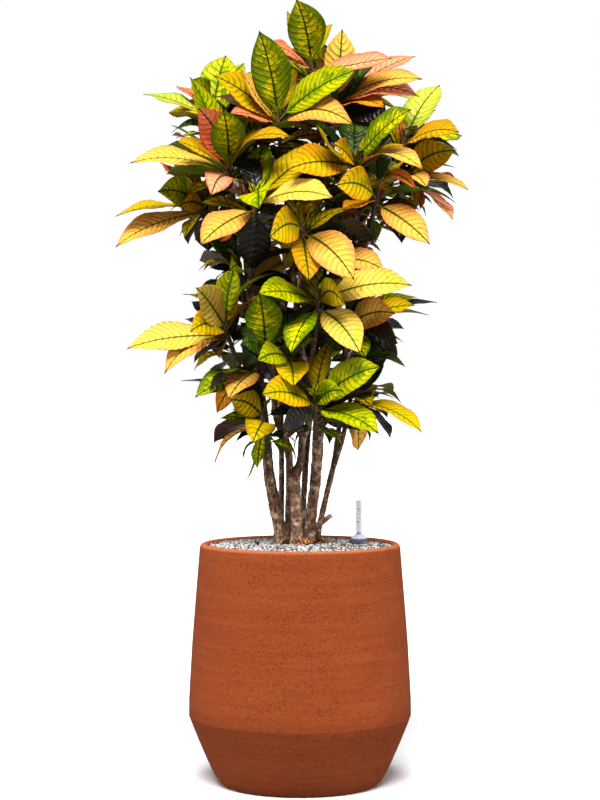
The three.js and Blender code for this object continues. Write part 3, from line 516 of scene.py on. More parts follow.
def turned(vector: Array, axis: Array, angle: float) -> Array:
    """Turns a vector about an axis.

    Args:
        vector: the vector to turn.
        axis: a unit vector.
        angle: in degrees, by the right-hand rule.

    Returns:
        The turned vector.
    """
    radians = math.radians(angle)
    lifted = np.cross(axis, vector)
    return (
        vector * math.cos(radians)
        + lifted * math.sin(radians)
        + axis * (axis @ vector) * (1 - math.cos(radians))
    )


class Draws:
    """Even numbers from 0 to 1 in a fixed order."""

    def __init__(self, seed: int) -> None:
        """Starts the order at a seed."""
        self.state = seed

    def __call__(self) -> float:
        """The next number."""
        self.state = (1664525 * self.state + 1013904223) % 4294967296
        return self.state / 4294967296

    def pick(self, choices: Sequence) -> object:
        """One of the choices."""
        return choices[int(self() * len(choices))]


# ---------------------------------------------------------------- the solids' own shapes
def loft_faces(rings: int, sides: int) -> Array:
    """The triangles of a skin through rings, closed to a point at each end.

    Args:
        rings: how many rings there are.
        sides: how many points a ring has.

    Returns:
        Triangles as point numbers: the start, then the rings, then the end.
    """
    last = rings * sides + 1

    def at(ring: int, side: int) -> int:
        """A point's number."""
        return 1 + ring * sides + side % sides

    faces = [(0, at(0, side + 1), at(0, side)) for side in range(sides)]
    for ring in range(rings - 1):
        for side in range(sides):
            a, b = at(ring, side), at(ring, side + 1)
            c, d = at(ring + 1, side + 1), at(ring + 1, side)
            faces += [(a, b, c), (a, c, d)] if side % 2 == 0 else [(a, b, d), (b, c, d)]
    faces += [(last, at(rings - 1, side), at(rings - 1, side + 1)) for side in range(sides)]
    return np.array(faces)


def skin_faces(points: Array, rings: int, sides: int) -> Array:
    """A loft's triangles as coordinates, rounded as the solids' own are."""
    return points.astype(np.float32).astype(float)[loft_faces(rings, sides)]


def limb(route: Sequence[Station], sides: int, end_way: Array | None = None) -> Array:
    """A stem's or branch's plain skin.

    Args:
        route: its stations.
        sides: points in a ring.
        end_way: the direction its last ring is square to.

    Returns:
        Its triangles as coordinates.
    """
    centres = [np.array(station[:3], float) for station in route]
    last = len(centres) - 1
    points = [centres[0]]
    for i, station in enumerate(route):
        along = unit(centres[min(i + 1, last)] - centres[max(i - 1, 0)])
        if i == last and end_way is not None:
            along = end_way
        across = square_to(np.array((1.0, 0, 0)), along)
        third = np.cross(along, across)
        for k in range(sides):
            angle = k / sides * 2 * math.pi
            points.append(
                centres[i]
                + across * station[3] * math.cos(angle)
                + third * station[3] * math.sin(angle)
            )
    points.append(centres[last])
    return skin_faces(np.array(points), len(route), sides)


def at_height(route: Route, height: float) -> Array:
    """The station of a route at a height.

    Args:
        route: its stations, from the foot upwards.
        height: the height.

    Returns:
        Its place and radius there.
    """
    above = max(1, next((i for i, s in enumerate(route) if s[2] >= height), 0))
    low, high = np.array(route[above - 1], float), np.array(route[above], float)
    return low + (high - low) * (height - low[2]) / (high[2] - low[2])


@dataclass(frozen=True)
class Branch:
    """A shoot's branch: its bezier's three points, its radius at the stem, and its shoot's axis."""

    start: Array
    bend: Array
    end: Array
    thick: float
    foot: Array
    tip: Array
    along: Array

    def stations(self, steps: int) -> list[tuple[float, ...]]:
        """The branch cut into steps, as stations.

        Args:
            steps: how many.

        Returns:
            The stations, its foot first.
        """
        route = []
        for i in range(steps + 1):
            t = i / steps
            point = (1 - t) ** 2 * self.start + 2 * (1 - t) * t * self.bend + t * t * self.end
            route.append((*point, (1 - t) * self.thick + t * SHOOT.foot_radius))
        return route

    def twig(self) -> Route:
        """Lays out the green twig above it, up to the bud.

        Returns:
            The stations.
        """
        neck = self.tip + self.along * (SHOOT.roots_above + SHOOT.neck)
        bud = neck + self.along * SHOOT.bud_length
        radii = (SHOOT.foot_radius, SHOOT.tip_radius, SHOOT.bud_radius)
        return tuple((*point, radius) for point, radius in zip((self.foot, neck, bud), radii))


def branch_of(shoot: Shoot) -> Branch:
    """Works out the branch that bends from the stem up to a shoot's foot.

    Args:
        shoot: the whorl that it carries.

    Returns:
        The branch.
    """
    trunk = STEMS[shoot.stem][0]
    start = at_height(trunk, min(shoot.at[2] - BRANCH.rise, trunk[-1][2]))
    tip = np.array(shoot.at, float)
    bend = (start[:3] + tip) / 2
    bend[2] = (1 - BRANCH.sag) * start[2] + BRANCH.sag * tip[2]
    along = unit(tip - bend)
    foot = tip - along * SHOOT.length
    end = foot - along * GAP
    thick = min(start[3] * BRANCH.share, SHOOT.foot_radius + 1)
    bend = bend + (end - bend) * BRANCH.ease
    return Branch(start[:3], bend, end, thick, foot, tip, along)


@dataclass(frozen=True)
class Leaf:
    """A leaf in its place."""

    root: Array
    tip: Array
    facing: Array
    width: float
    arch: float
    stations: tuple[tuple[float, float], ...]
    tint: Tint

    def axes(self) -> tuple[Array, float, Array, Array, Array]:
        """Works out which way the leaf lies.

        Returns:
            Its chord, length, upper face's normal, side and the way it arches.
        """
        chord = self.tip - self.root
        length = math.sqrt(chord @ chord)
        chord = chord / length
        normal = square_to(self.facing, chord)
        rise = square_to(np.array((0, -LEAF.arch_forward, 1.0)), chord)
        return chord, length, normal, np.cross(chord, normal), rise

    def skin(self, spare: float = 0) -> Array:
        """Its plain skin, for telling what it would cross.

        Args:
            spare: how much thicker and wider than it is.

        Returns:
            The triangles' corners.
        """
        chord, length, normal, side, rise = self.axes()

        def centre(along: float) -> Array:
            """The midrib's place."""
            lifted = 4 * along * (1 - along) * self.arch
            return self.root + chord * (along * length) + rise * lifted

        def ring(along: float, half: float, thickness: float, wave: float) -> list[Array]:
            """The four points of a cross-section.

            Args:
                along: the share of its length.
                half: half the width there.
                thickness: that of the midrib there.
                wave: how far one edge is lowered and the other raised.

            Returns:
                The points.
            """
            middle = centre(along)
            lift = normal * (LEAF.fold * half)
            return [
                middle - side * half + lift - normal * wave,
                middle + normal * (thickness / 2),
                middle + side * half + lift + normal * wave,
                middle - normal * (thickness / 2),
            ]

        points = [self.root]
        points += ring(LEAF.stalk_share, LEAF.stalk_width / 2 + spare, LEAF.stalk_width + spare, 0)
        for i, (along, half) in enumerate(self.stations):
            wave = LEAF.wave if i % 2 else -LEAF.wave
            wide = half * self.width / 2 + spare
            points += ring(along, wide, LEAF.midrib_thickness + spare, wave)
        points.append(centre(1) + chord * spare)
        return skin_faces(np.array(points), len(self.stations) + 1, 4)

    def variants(
        self, lifts: Sequence[float] = LIFTS, sways: Sequence[float] = SWAYS
    ) -> Iterator["Leaf"]:
        """The leaf as it is, then ever more bent.

        Args:
            lifts: how far its tip is lifted, in the order to try.
            sways: how far its tip is swayed back, in the order to try.

        Yields:
            Each form of the leaf.
        """
        chord = self.tip - self.root
        length = math.sqrt(chord @ chord)
        for share in SHARES:
            for roll in ROLLS:
                for lift in lifts:
                    for sway in sways:
                        axis = unit(chord + np.array((0, sway, lift)))
                        yield replace(
                            self,
                            tip=self.root + axis * (length * share),
                            width=self.width * share,
                            facing=turned(square_to(self.facing, axis), axis, roll),
                        )


def root_on(branch: Branch, reach: Array) -> Array:
    """Where a stalk leaves its shoot, the lower leaves further down, each on its own side.

    Args:
        branch: the shoot's branch.
        reach: from the growing tip to the leaf's tip.

    Returns:
        The place.
    """
    share = min(max(0.5 + reach[2] / SHOOT.roots_spread, 0), 1)
    up = (1 - share) * -SHOOT.roots_below + share * SHOOT.roots_above
    outward = square_to(reach, branch.along) * (SHOOT.tip_radius * SHOOT.root_share)
    return branch.tip + branch.along * up + outward


def listed_leaf(branch: Branch, row: tuple) -> Leaf:
    """The leaf that a row of a shoot's list gives.

    Args:
        branch: the shoot's branch.
        row: the row, as Shoot says.

    Returns:
        The leaf.
    """
    across, up, back, width, arch, face, tint, *turn = row
    tilt, yaw = math.radians(face), math.radians(turn[0] if turn else 0)
    reach = np.array((across, back, up), float)
    facing = (math.sin(tilt) * math.sin(yaw), -math.sin(tilt) * math.cos(yaw), math.cos(tilt))
    stations = FEW_STATIONS if width < LEAF.slim else STATIONS
    root = root_on(branch, reach)
    return Leaf(root, branch.tip + reach, np.array(facing), width, arch, stations, tint)


def crown_reach(height: float) -> float:
    """The crown's reach from the axis at a height."""
    heights, reaches = zip(*CROWN_REACH)
    return float(np.interp(height, heights, reaches))


def heading(shoot: Shoot, around: float, sweep: float, slope: float) -> Array:
    """Where a leaf points: a shoot with listed leaves turns it to the back.

    Args:
        shoot: the shoot it grows on.
        around: how far round the shoot it has come, in radians.
        sweep: how far to each side of the back it may point, in degrees.
        slope: how steep it stands, in radians.

    Returns:
        The direction, at length 1.
    """
    swing = (around / (2 * math.pi)) % 1 * 2 - 1
    bearing = math.pi / 2 + swing * math.radians(sweep) if shoot.leaves else around
    flat = math.cos(slope)
    return np.array((math.cos(bearing) * flat, math.sin(bearing) * flat, math.sin(slope)))


def deep_leaf(shoot: Shoot, branch: Branch, phase: int, index: int, draw: Draws) -> Leaf:
    """An old leaf below the whorl.

    Args:
        shoot: the shoot it grows on.
        branch: that shoot's branch.
        phase: the shoot's number, where its first leaf starts.
        index: the leaf's number.
        draw: the order of numbers that all such leaves share.

    Returns:
        The leaf before it is bent clear.
    """
    share = (index + 0.5) / DEEP.count
    around = DEEP.phase_turn * phase + index * math.radians(RULE.turn)
    slope = DEEP.steep + (DEEP.low - DEEP.steep) * share + DEEP.slope_spread * draw()
    way = heading(shoot, around, DEEP.sweep, math.radians(slope))
    outward = square_to(way, branch.along) * (SHOOT.tip_radius * SHOOT.root_share)
    down = DEEP.highest + share * (DEEP.lowest - DEEP.highest)
    root = branch.tip - branch.along * down + outward
    length = DEEP.length + DEEP.length_spread * draw()
    tip = root + way * length
    while length > DEEP.shortest and (
        math.hypot(tip[0], tip[1]) > crown_reach(tip[2]) * DEEP.reach or tip[2] < DEEP.floor
    ):
        length -= RULE.trim
        tip = root + way * length
    facing = np.array((0, -0.5, 1.0))
    tint = draw.pick(HIGH_TINTS if root[2] > DEEP.lighter_above else DEEP_TINTS)
    arch = DEEP.arch + DEEP.arch_spread * draw()
    return Leaf(root, tip, facing, length * DEEP.width_share, arch, FEW_STATIONS, tint)


def drawn_leaf(
    shoot: Shoot, branch: Branch, phase: int, index: int, draw: Draws, tint: Tint
) -> Leaf:
    """A leaf by the rule: round the shoot by the golden angle, the first steep, the last low.

    Args:
        shoot: the shoot it grows on.
        branch: that shoot's branch.
        phase: the shoot's number, where its first leaf starts.
        index: the leaf's number.
        draw: the order of numbers that all such leaves share.
        tint: its colouring.

    Returns:
        The leaf before it is bent clear.
    """
    share = (index % shoot.drawn + 0.5) / shoot.drawn
    around = phase + index * math.radians(RULE.turn)
    slope = (1 - share) * RULE.steep + share * RULE.low + RULE.slope_spread * draw()
    way = heading(shoot, around, RULE.sweep, math.radians(slope))
    arch = RULE.arch + RULE.arch_spread * draw()
    length = RULE.length + RULE.length_spread * draw()
    tip = branch.tip + way * length
    while length > RULE.shortest and math.hypot(tip[0], tip[1]) > crown_reach(tip[2]):
        length -= RULE.trim
        tip = branch.tip + way * length
    width = min(RULE.width_share * length, RULE.widest)
    up = np.array((0, 0, 1.0))
    return Leaf(root_on(branch, way * length), tip, up, width, arch, FEW_STATIONS, tint)


class Thicket:
    """Every face of the stems and leaves so far, to tell whether a new leaf would cross one."""

    def __init__(self, room: int = 60000) -> None:
        """Starts with nothing in the way.

        Args:
            room: how many faces it can hold.
        """
        self.faces = np.zeros((room, 3, 3))
        self.low = np.zeros((room, 3))
        self.high = np.zeros((room, 3))
        self.owner = np.zeros(room, int)
        self.free = np.zeros(room, bool)
        self.count = 0

    def add(self, faces: Array, owner: int, free: int = 0) -> None:
        """Adds a skin.

        Args:
            faces: its triangles.
            owner: the number of the stem or shoot it belongs to.
            free: how many of its first faces the same owner's leaves may cross.
        """
        rows = slice(self.count, self.count + len(faces))
        self.faces[rows] = faces
        self.low[rows] = faces.min(axis=1)
        self.high[rows] = faces.max(axis=1)
        self.owner[rows] = owner
        self.free[rows] = np.arange(len(faces)) < free
        self.count += len(faces)

    def crossed_by(self, faces: Array, owner: int, own_too: bool) -> bool:
        """Tells whether a leaf's skin crosses what is there.

        Args:
            faces: the skin's triangles.
            owner: the number of its shoot.
            own_too: whether its own shoot counts.

        Returns:
            Whether it does.
        """
        rows = slice(0, self.count)
        low, high = faces.min(axis=(0, 1)), faces.max(axis=(0, 1))
        near = ((self.low[rows] <= high) & (self.high[rows] >= low)).all(axis=1)
        own = self.owner[rows] == owner
        if self.cross(faces, self.faces[rows][near & ~own]):
            return True
        own_near = near & own & ~self.free[rows]
        return own_too and self.cross(faces[STALK_FACES:], self.faces[rows][own_near])

    @staticmethod
    def cross(one: Array, other: Array) -> bool:
        """Whether two sets of triangles cross."""
        if not len(one) or not len(other):
            return False
        return Thicket.pierces(one, other) or Thicket.pierces(other, one)

    @staticmethod
    def pierces(edged: Array, faced: Array) -> bool:
        """Whether an edge of the first triangles passes through a face of the second.

        Args:
            edged: the first triangles.
            faced: the second.

        Returns:
            Whether one does.
        """
        start = edged.reshape(-1, 3)
        step = edged[:, (1, 2, 0)].reshape(-1, 3) - start
        keep = (np.minimum(start, start + step) <= faced.max(axis=(0, 1))).all(axis=1)
        keep &= (np.maximum(start, start + step) >= faced.min(axis=(0, 1))).all(axis=1)
        start, step = start[keep], step[keep]
        if not len(start):
            return False
        corner = faced[:, 0]
        (ux, uy, uz), (vx, vy, vz) = (faced[:, 1] - corner).T, (faced[:, 2] - corner).T
        dx, dy, dz = step.T[:, :, None]
        hx, hy, hz = dy * vz - dz * vy, dz * vx - dx * vz, dx * vy - dy * vx
        det = ux * hx + uy * hy + uz * hz
        det = np.where(np.abs(det) < 1e-12, np.nan, det)
        sx, sy, sz = (start[:, None] - corner).transpose(2, 0, 1)
        u = (sx * hx + sy * hy + sz * hz) / det
        kx, ky, kz = sy * uz - sz * uy, sz * ux - sx * uz, sx * uy - sy * ux
        v = (dx * kx + dy * ky + dz * kz) / det
        along = (vx * kx + vy * ky + vz * kz) / det
        inside = (u >= 0) & (u <= 1) & (v >= 0) & (u + v <= 1)
        return bool((inside & (along >= 0) & (along <= 1)).any())


@dataclass
class Plant:
    """Where every leaf grows, by the same rule as in the solids."""

    branches: dict[str, Branch] = field(default_factory=dict)
    leaves: dict[str, list[Leaf]] = field(default_factory=dict)
    thicket: Thicket = field(default_factory=Thicket)

    def __post_init__(self) -> None:
        """Sets up the stems, then grows the listed leaves, then those of the rule."""
        owners = {name: number for number, name in enumerate([*STEMS, *(s.name for s in SHOOTS)])}
        for name, routes in STEMS.items():
            for route in routes:
                self.thicket.add(limb(route, STEM_SIDES), owners[name])
        for shoot in SHOOTS:
            branch = branch_of(shoot)
            self.branches[shoot.name] = branch
            self.leaves[shoot.name] = []
            stations = branch.stations(BRANCH.steps)
            self.thicket.add(limb(stations, BRANCH.sides, branch.along), owners[shoot.stem])
            twig = limb(branch.twig(), SHOOT.sides)
            self.thicket.add(twig, owners[shoot.name], len(twig))
        for shoot in SHOOTS:
            for row in shoot.leaves:
                leaf = listed_leaf(self.branches[shoot.name], row)
                self.grow(shoot, leaf, owners[shoot.name])
        draw, colour_draw = Draws(RULE.seed), Draws(RULE.seed + 1)
        for phase, shoot in enumerate(SHOOTS):
            self.fill(shoot, phase, draw, colour_draw, owners[shoot.name])

    def deepen(self) -> None:
        """Grows the old leaves deep in the crown, which the solids do without."""
        draw = Draws(DEEP.seed)
        for phase, shoot in enumerate(SHOOTS):
            owner = len(STEMS) + phase
            for index in range(DEEP.count):
                leaf = deep_leaf(shoot, self.branches[shoot.name], phase, index, draw)
                for variant in leaf.variants(lifts=(0,), sways=(0,)):
                    if not self.thicket.crossed_by(variant.skin(), owner, True):
                        self.leaves[shoot.name].append(variant)
                        self.thicket.add(variant.skin(), owner, STALK_FACES)
                        break

    def fill(self, shoot: Shoot, phase: int, draw: Draws, colour_draw: Draws, owner: int) -> None:
        """Grows a shoot's leaves by the rule, with some tries more than leaves."""
        missing, index = shoot.drawn, 0
        while missing > 0 and index < RULE.tries * shoot.drawn:
            tint = colour_draw.pick(INNER_TINTS if shoot.leaves else REAR_TINTS)
            leaf = drawn_leaf(shoot, self.branches[shoot.name], phase, index, draw, tint)
            missing -= self.grow(shoot, leaf, owner)
            index += 1

    def grow(self, shoot: Shoot, leaf: Leaf, owner: int) -> bool:
        """Adds a leaf where it can be bent clear, and says whether it could."""
        for own_too in (True, False):
            for variant in leaf.variants():
                if not self.thicket.crossed_by(variant.skin(SPARE), owner, own_too):
                    self.leaves[shoot.name].append(variant)
                    self.thicket.add(variant.skin(), owner, STALK_FACES)
                    return True
        return False


# ---------------------------------------------------------------- fine meshes
@dataclass
class Skin:
    """A mesh in the making: points in millimetres, faces, and what the materials read."""

    points: list[Array] = field(default_factory=list)
    faces: list[Array] = field(default_factory=list)
    finishes: list[Array] = field(default_factory=list)
    values: dict[str, list[Array]] = field(default_factory=dict)
    count: int = 0

    def add(self, points: Array, faces: Array, finish: int = 0, **values: Array | float) -> None:
        """Adds a patch.

        Args:
            points: its points.
            faces: its faces of four, as numbers of its own points; a triangle repeats its last.
            finish: which of the piece's materials it takes.
            values: a number or a colour for each point, or one for them all.
        """
        self.points.append(points)
        self.faces.append(faces + self.count)
        self.finishes.append(np.full(len(faces), finish))
        self.count += len(points)
        for name, value in values.items():
            value = np.asarray(value, float)
            if value.ndim == 0 or value.shape[0] != len(points):
                value = np.broadcast_to(value, (len(points), *value.shape))
            self.values.setdefault(name, []).append(value)

    def piece(self, name: str, *materials: bpy.types.Material) -> bpy.types.Object:
        """Makes the object.

        Args:
            name: its name.
            materials: its materials.

        Returns:
            The object, at the origin.
        """
        mesh = bpy.data.meshes.new(name)
        faces = np.concatenate(self.faces)
        rows = [row[:3] if row[2] == row[3] else row for row in faces.tolist()]
        mesh.from_pydata((np.concatenate(self.points) * MM).tolist(), [], rows)
        for material in materials:
            mesh.materials.append(material)
        mesh.polygons.foreach_set("material_index", np.concatenate(self.finishes))
        for key, parts in self.values.items():
            value = np.concatenate(parts)
            kind, slot = ("FLOAT", "value") if value.ndim == 1 else ("FLOAT_COLOR", "color")
            attribute = mesh.attributes.new(key, kind, "POINT")
            attribute.data.foreach_set(slot, value.astype(np.float32).ravel())
        mesh.shade_smooth()
        mesh.update()
        thing = bpy.data.objects.new(name, mesh)
        bpy.context.scene.collection.objects.link(thing)
        return thing


def grid_faces(rings: int, sides: int) -> Array:
    """Faces of four through closed rings, with a point at each end of the numbering.

    Args:
        rings: how many rings there are.
        sides: how many points a ring has.

    Returns:
        The faces; those at the two ends repeat their last point.
    """
    ring = np.arange(sides)
    after = (ring + 1) % sides
    last = rings * sides + 1
    faces = [np.stack([0 * ring, 1 + after, 1 + ring, 1 + ring], axis=1)]
    for i in range(rings - 1):
        low, high = 1 + i * sides, 1 + (i + 1) * sides
        faces.append(np.stack([low + ring, low + after, high + after, high + ring], axis=1))
    low = 1 + (rings - 1) * sides
    faces.append(np.stack([0 * ring + last, low + ring, low + after, low + after], axis=1))
    return np.concatenate(faces)


def lathe(
    skin: Skin, profile: Sequence[tuple[float, float]], sides: int, **options: object
) -> None:
    """Turns a closed profile round the vertical through at.

    Args:
        skin: what it is added to.
        profile: radius and height of each point, counter-clockwise, the first and last on the axis
            or else joined to each other.
        sides: segments round the axis.
        options: at, the axis' place, and what Skin.add takes.
    """
    x, y = options.pop("at", (0, 0))
    angle = np.arange(sides) / sides * 2 * math.pi
    turn = np.stack([np.cos(angle), np.sin(angle), 0 * angle], axis=1)
    rings = [r * turn + np.array((x, y, z)) for r, z in profile]
    if profile[0][0] == 0:
        points = np.concatenate([rings[0][:1], *rings[1:-1], rings[-1][:1]])
        skin.add(points, grid_faces(len(profile) - 2, sides), **options)
        return
    points = np.concatenate(rings)
    ring, count = np.arange(sides), len(profile)
    after = (ring + 1) % sides
    faces = []
    for i in range(count):
        low, high = i * sides, (i + 1) % count * sides
        faces.append(np.stack([low + ring, low + after, high + after, high + ring], axis=1))
    skin.add(points, np.concatenate(faces), **options)


def linear(code: str) -> tuple[float, float, float, float]:
    """A colour written as sRGB hex, in linear light."""
    parts = [int(code[i : i + 2], 16) / 255 for i in (0, 2, 4)]
    return (*(p / 12.92 if p <= 0.04045 else ((p + 0.055) / 1.055) ** 2.4 for p in parts), 1)


MIX = {"data_type": "RGBA", "output": 2}
SMOOTH = {"interpolation_type": "SMOOTHSTEP"}


def per_metre(size: float) -> float:
    """The scale of a pattern whose grain has a size in millimetres."""
    return 1 / (size * MM)


class Wiring:
    """Builds a tree of nodes."""

    def __init__(self, tree: bpy.types.NodeTree) -> None:
        """Starts an empty tree."""
        self.tree = tree
        tree.nodes.clear()

    def add(
        self, kind: str, inputs: dict | None = None, output: int = 0, **settings: object
    ) -> Socket | None:
        """Adds a node.

        Args:
            kind: its type, which for a shader node goes without "ShaderNode".
            inputs: by number or name, the socket that feeds it or its value.
            output: which of its outputs is wanted.
            settings: its properties.

        Returns:
            That output, if it has any.
        """
        node = self.tree.nodes.new(kind if "Node" in kind else f"ShaderNode{kind}")
        for key, value in settings.items():
            setattr(node, key, value)
        for key, value in (inputs or {}).items():
            if isinstance(value, Socket):
                self.tree.links.new(value, node.inputs[key])
            else:
                node.inputs[key].default_value = value
        return node.outputs[output] if node.outputs else None

    def shade(self, colour: Socket, tone: Socket) -> Socket:
        """A colour times a tone."""
        grey = self.add("CombineColor", {0: tone, 1: tone, 2: tone})
        return self.add("Mix", {0: 1, 6: colour, 7: grey}, blend_type="MULTIPLY", **MIX)


@dataclass(frozen=True)
class Finish:
    """What a piece is made of: a material, and how its shader is fed."""

    name: str

    def material(self) -> bpy.types.Material:
        """Builds the material.

        Returns:
            The material.
        """
        material = bpy.data.materials.new(self.name)
        material.use_nodes = True
        wires = Wiring(material.node_tree)
        sockets = self.paint(wires, wires.add("TexCoord", output=3))
        wires.add("OutputMaterial", {0: wires.add("BsdfPrincipled", sockets)})
        return material

    def paint(self, wires: Wiring, place: Socket) -> dict:
        """Lays out the nodes.

        Args:
            wires: the tree to lay them out in.
            place: the place on the object.

        Returns:
            By name, what feeds the shader's sockets or their values.
        """
        raise NotImplementedError


# What a leaf's mesh tells its material: numbers, and the colours of its parts.
LEAF_NUMBERS = (
    "leaf_u", "leaf_v", "leaf_across", "vein", "vein_gap", "leaf_seed", "mottled", "underside",
)  # fmt: skip
LEAF_PARTS = ("ground", "margin", "mottle", "vein", "midrib", "under")


@dataclass(frozen=True)
class CrotonLeaf(Finish):
    """The leaf of a croton: leathery, with a waxy gloss, its colours parted by the veins.

    The mesh carries each leaf's own colours, and tells the place on the blade: leaf_u runs from
    margin to margin, leaf_v from the shoot to the tip, and vein counts the side veins.
    """

    name: str = "croton_leaf"
    vein_width: float = 1.3  # mm; a real one is a third as wide, drawn coarser so that it shows
    midrib_width: float = 4.6  # mm, half of it with its dark halo
    streaks: float = 4.6  # between two side veins
    wander: float = 11.111  # mm, how long a side vein keeps its course
    fleck: float = 3.846  # mm
    blotch: float = 26.316  # mm
    cloud: float = 16.667  # mm
    halo: float = 0.22  # how much of a vein's colour the blade beside it takes
    roughness: float = 0.4
    gloss: float = 0.06
    vein_depth: float = 0.8  # mm

    def paint(self, wires: Wiring, place: Socket) -> dict:
        """Lays out the nodes.

        Args:
            wires: the tree's builder.
            place: where a point lies.

        Returns:
            What feeds the shader.
        """
        add = wires.add
        read = {name: add("Attribute", output=2, attribute_name=name) for name in LEAF_NUMBERS}
        colour = {name: add("Attribute", attribute_name=f"{name}_colour") for name in LEAF_PARTS}
        outward = add("Math", {0: read["leaf_u"]}, operation="ABSOLUTE")

        # Side veins: lines where the count, a little wandering, is whole.
        wander = add(
            "TexNoise", {"Vector": place, "Scale": per_metre(self.wander), "Detail": 2}
        )
        count = add("Math", {0: wander, 1: 0.6, 2: read["vein"]}, operation="MULTIPLY_ADD")
        nearest = add("Math", {0: count, 1: 0.5}, operation="PINGPONG")
        off = add("Math", {0: nearest, 1: read["vein_gap"]}, operation="MULTIPLY")
        width = add("MapRange", {0: outward, 3: self.vein_width, 4: self.vein_width * 0.5})
        side_vein = add("MapRange", {0: off, 1: 0.1, 2: width, 3: 1, 4: 0}, **SMOOTH)
        near_vein = add("MapRange", {0: off, 1: 0, 2: 3.6, 3: 1, 4: 0}, **SMOOTH)

        # The midrib, tapering to the tip, with an uneven edge.
        rib_width = add(
            "MapRange", {0: read["leaf_v"], 3: self.midrib_width, 4: self.midrib_width * 0.3}
        )
        fleck = add(
            "TexNoise", {"Vector": place, "Scale": per_metre(self.fleck), "Detail": 2}
        )
        across = add("Math", {0: read["leaf_across"]}, operation="ABSOLUTE")
        across = add("Math", {0: fleck, 1: 0.8, 2: across}, operation="MULTIPLY_ADD")
        across = add("Math", {0: across, 1: 0.4}, operation="SUBTRACT")
        midrib = add("MapRange", {0: across, 1: 0.35, 2: rib_width, 3: 1, 4: 0}, **SMOOTH)

        # Streaks that lie along the side veins, more of them by the midrib.
        stretch = add("CombineXYZ", {0: read["vein"], 1: read["leaf_u"], 2: read["leaf_seed"]})
        stretch = add(
            "VectorMath", {0: stretch, 1: (self.streaks, self.streaks, 37.0)}, operation="MULTIPLY"
        )
        streak = add(
            "TexNoise",
            {"Vector": stretch, "Scale": 1, "Detail": 3, "Roughness": 0.62, "Distortion": 0.5},
        )
        blotch = add(
            "TexNoise", {"Vector": place, "Scale": per_metre(self.blotch), "Detail": 2}
        )
        streak = add("Math", {0: blotch, 1: 0.8, 2: streak}, operation="MULTIPLY_ADD")
        streak = add("Math", {0: outward, 1: -0.2, 2: streak}, operation="MULTIPLY_ADD")
        least = add("MapRange", {0: read["mottled"], 1: 0.2, 2: 0.5, 3: 0.94, 4: 0.78})
        most = add("Math", {0: least, 1: 0.09}, operation="ADD")
        patch = add("MapRange", {0: streak, 1: least, 2: most}, **SMOOTH)

        # The margin's colour comes in from the edge, further in along the veins.
        edge = add("Math", {0: near_vein, 1: -0.12, 2: outward}, operation="MULTIPLY_ADD")
        cloud = add(
            "TexNoise", {"Vector": place, "Scale": per_metre(self.cloud), "Detail": 2}
        )
        edge = add("Math", {0: cloud, 1: 0.5, 2: edge}, operation="MULTIPLY_ADD")
        edge = add("MapRange", {0: edge, 1: 0.72, 2: 1.28}, **SMOOTH)

        face = add("Mix", {0: patch, 6: colour["ground"], 7: colour["mottle"]}, **MIX)
        face = add("Mix", {0: edge, 6: face, 7: colour["margin"]}, **MIX)
        halo = add("Math", {0: near_vein, 1: self.halo}, operation="MULTIPLY")
        face = add("Mix", {0: halo, 6: face, 7: colour["vein"]}, **MIX)
        face = add("Mix", {0: side_vein, 6: face, 7: colour["vein"]}, **MIX)
        face = add("Mix", {0: midrib, 6: face, 7: colour["midrib"]}, **MIX)

        # Old tips are scorched, and the stalk is green with a coral foot.
        tip = add("Math", {0: cloud, 1: 0.06, 2: read["leaf_v"]}, operation="MULTIPLY_ADD")
        tip = add("MapRange", {0: tip, 1: 0.985, 2: 1.02, 4: 0.8}, **SMOOTH)
        face = add("Mix", {0: tip, 6: face, 7: linear("2C1810")}, **MIX)
        stalk = add("MapRange", {0: read["leaf_v"], 1: 0.02, 2: 0.1})
        stalk = add("Mix", {0: stalk, 6: linear("D8684A"), 7: linear("7C8A2C")}, **MIX)
        on_stalk = add("MapRange", {0: read["leaf_v"], 1: 0.11, 2: 0.17, 3: 1, 4: 0})
        face = add("Mix", {0: on_stalk, 6: face, 7: stalk}, **MIX)
        face = add("Mix", {0: read["underside"], 6: face, 7: colour["under"]}, **MIX)

        # Fine flecks of light and shade.
        shade = add("MapRange", {0: fleck, 1: 0.25, 2: 0.75, 3: 0.84, 4: 1.1})
        face = wires.shade(face, shade)

        # The blade swells between sunken veins.
        swell = add("MapRange", {0: near_vein, 3: 1, 4: 0})
        rib = add("Math", {0: midrib, 1: -1.0, 2: swell}, operation="MULTIPLY_ADD")
        rough = add("MapRange", {0: cloud, 3: self.roughness, 4: self.roughness + 0.1})
        bump = add("Bump", {"Height": rib, "Distance": self.vein_depth * MM, "Strength": 1})
        return {
            "Base Color": face, "Roughness": rough, "Normal": bump,
            "Specular IOR Level": self.gloss,
        }  # fmt: skip


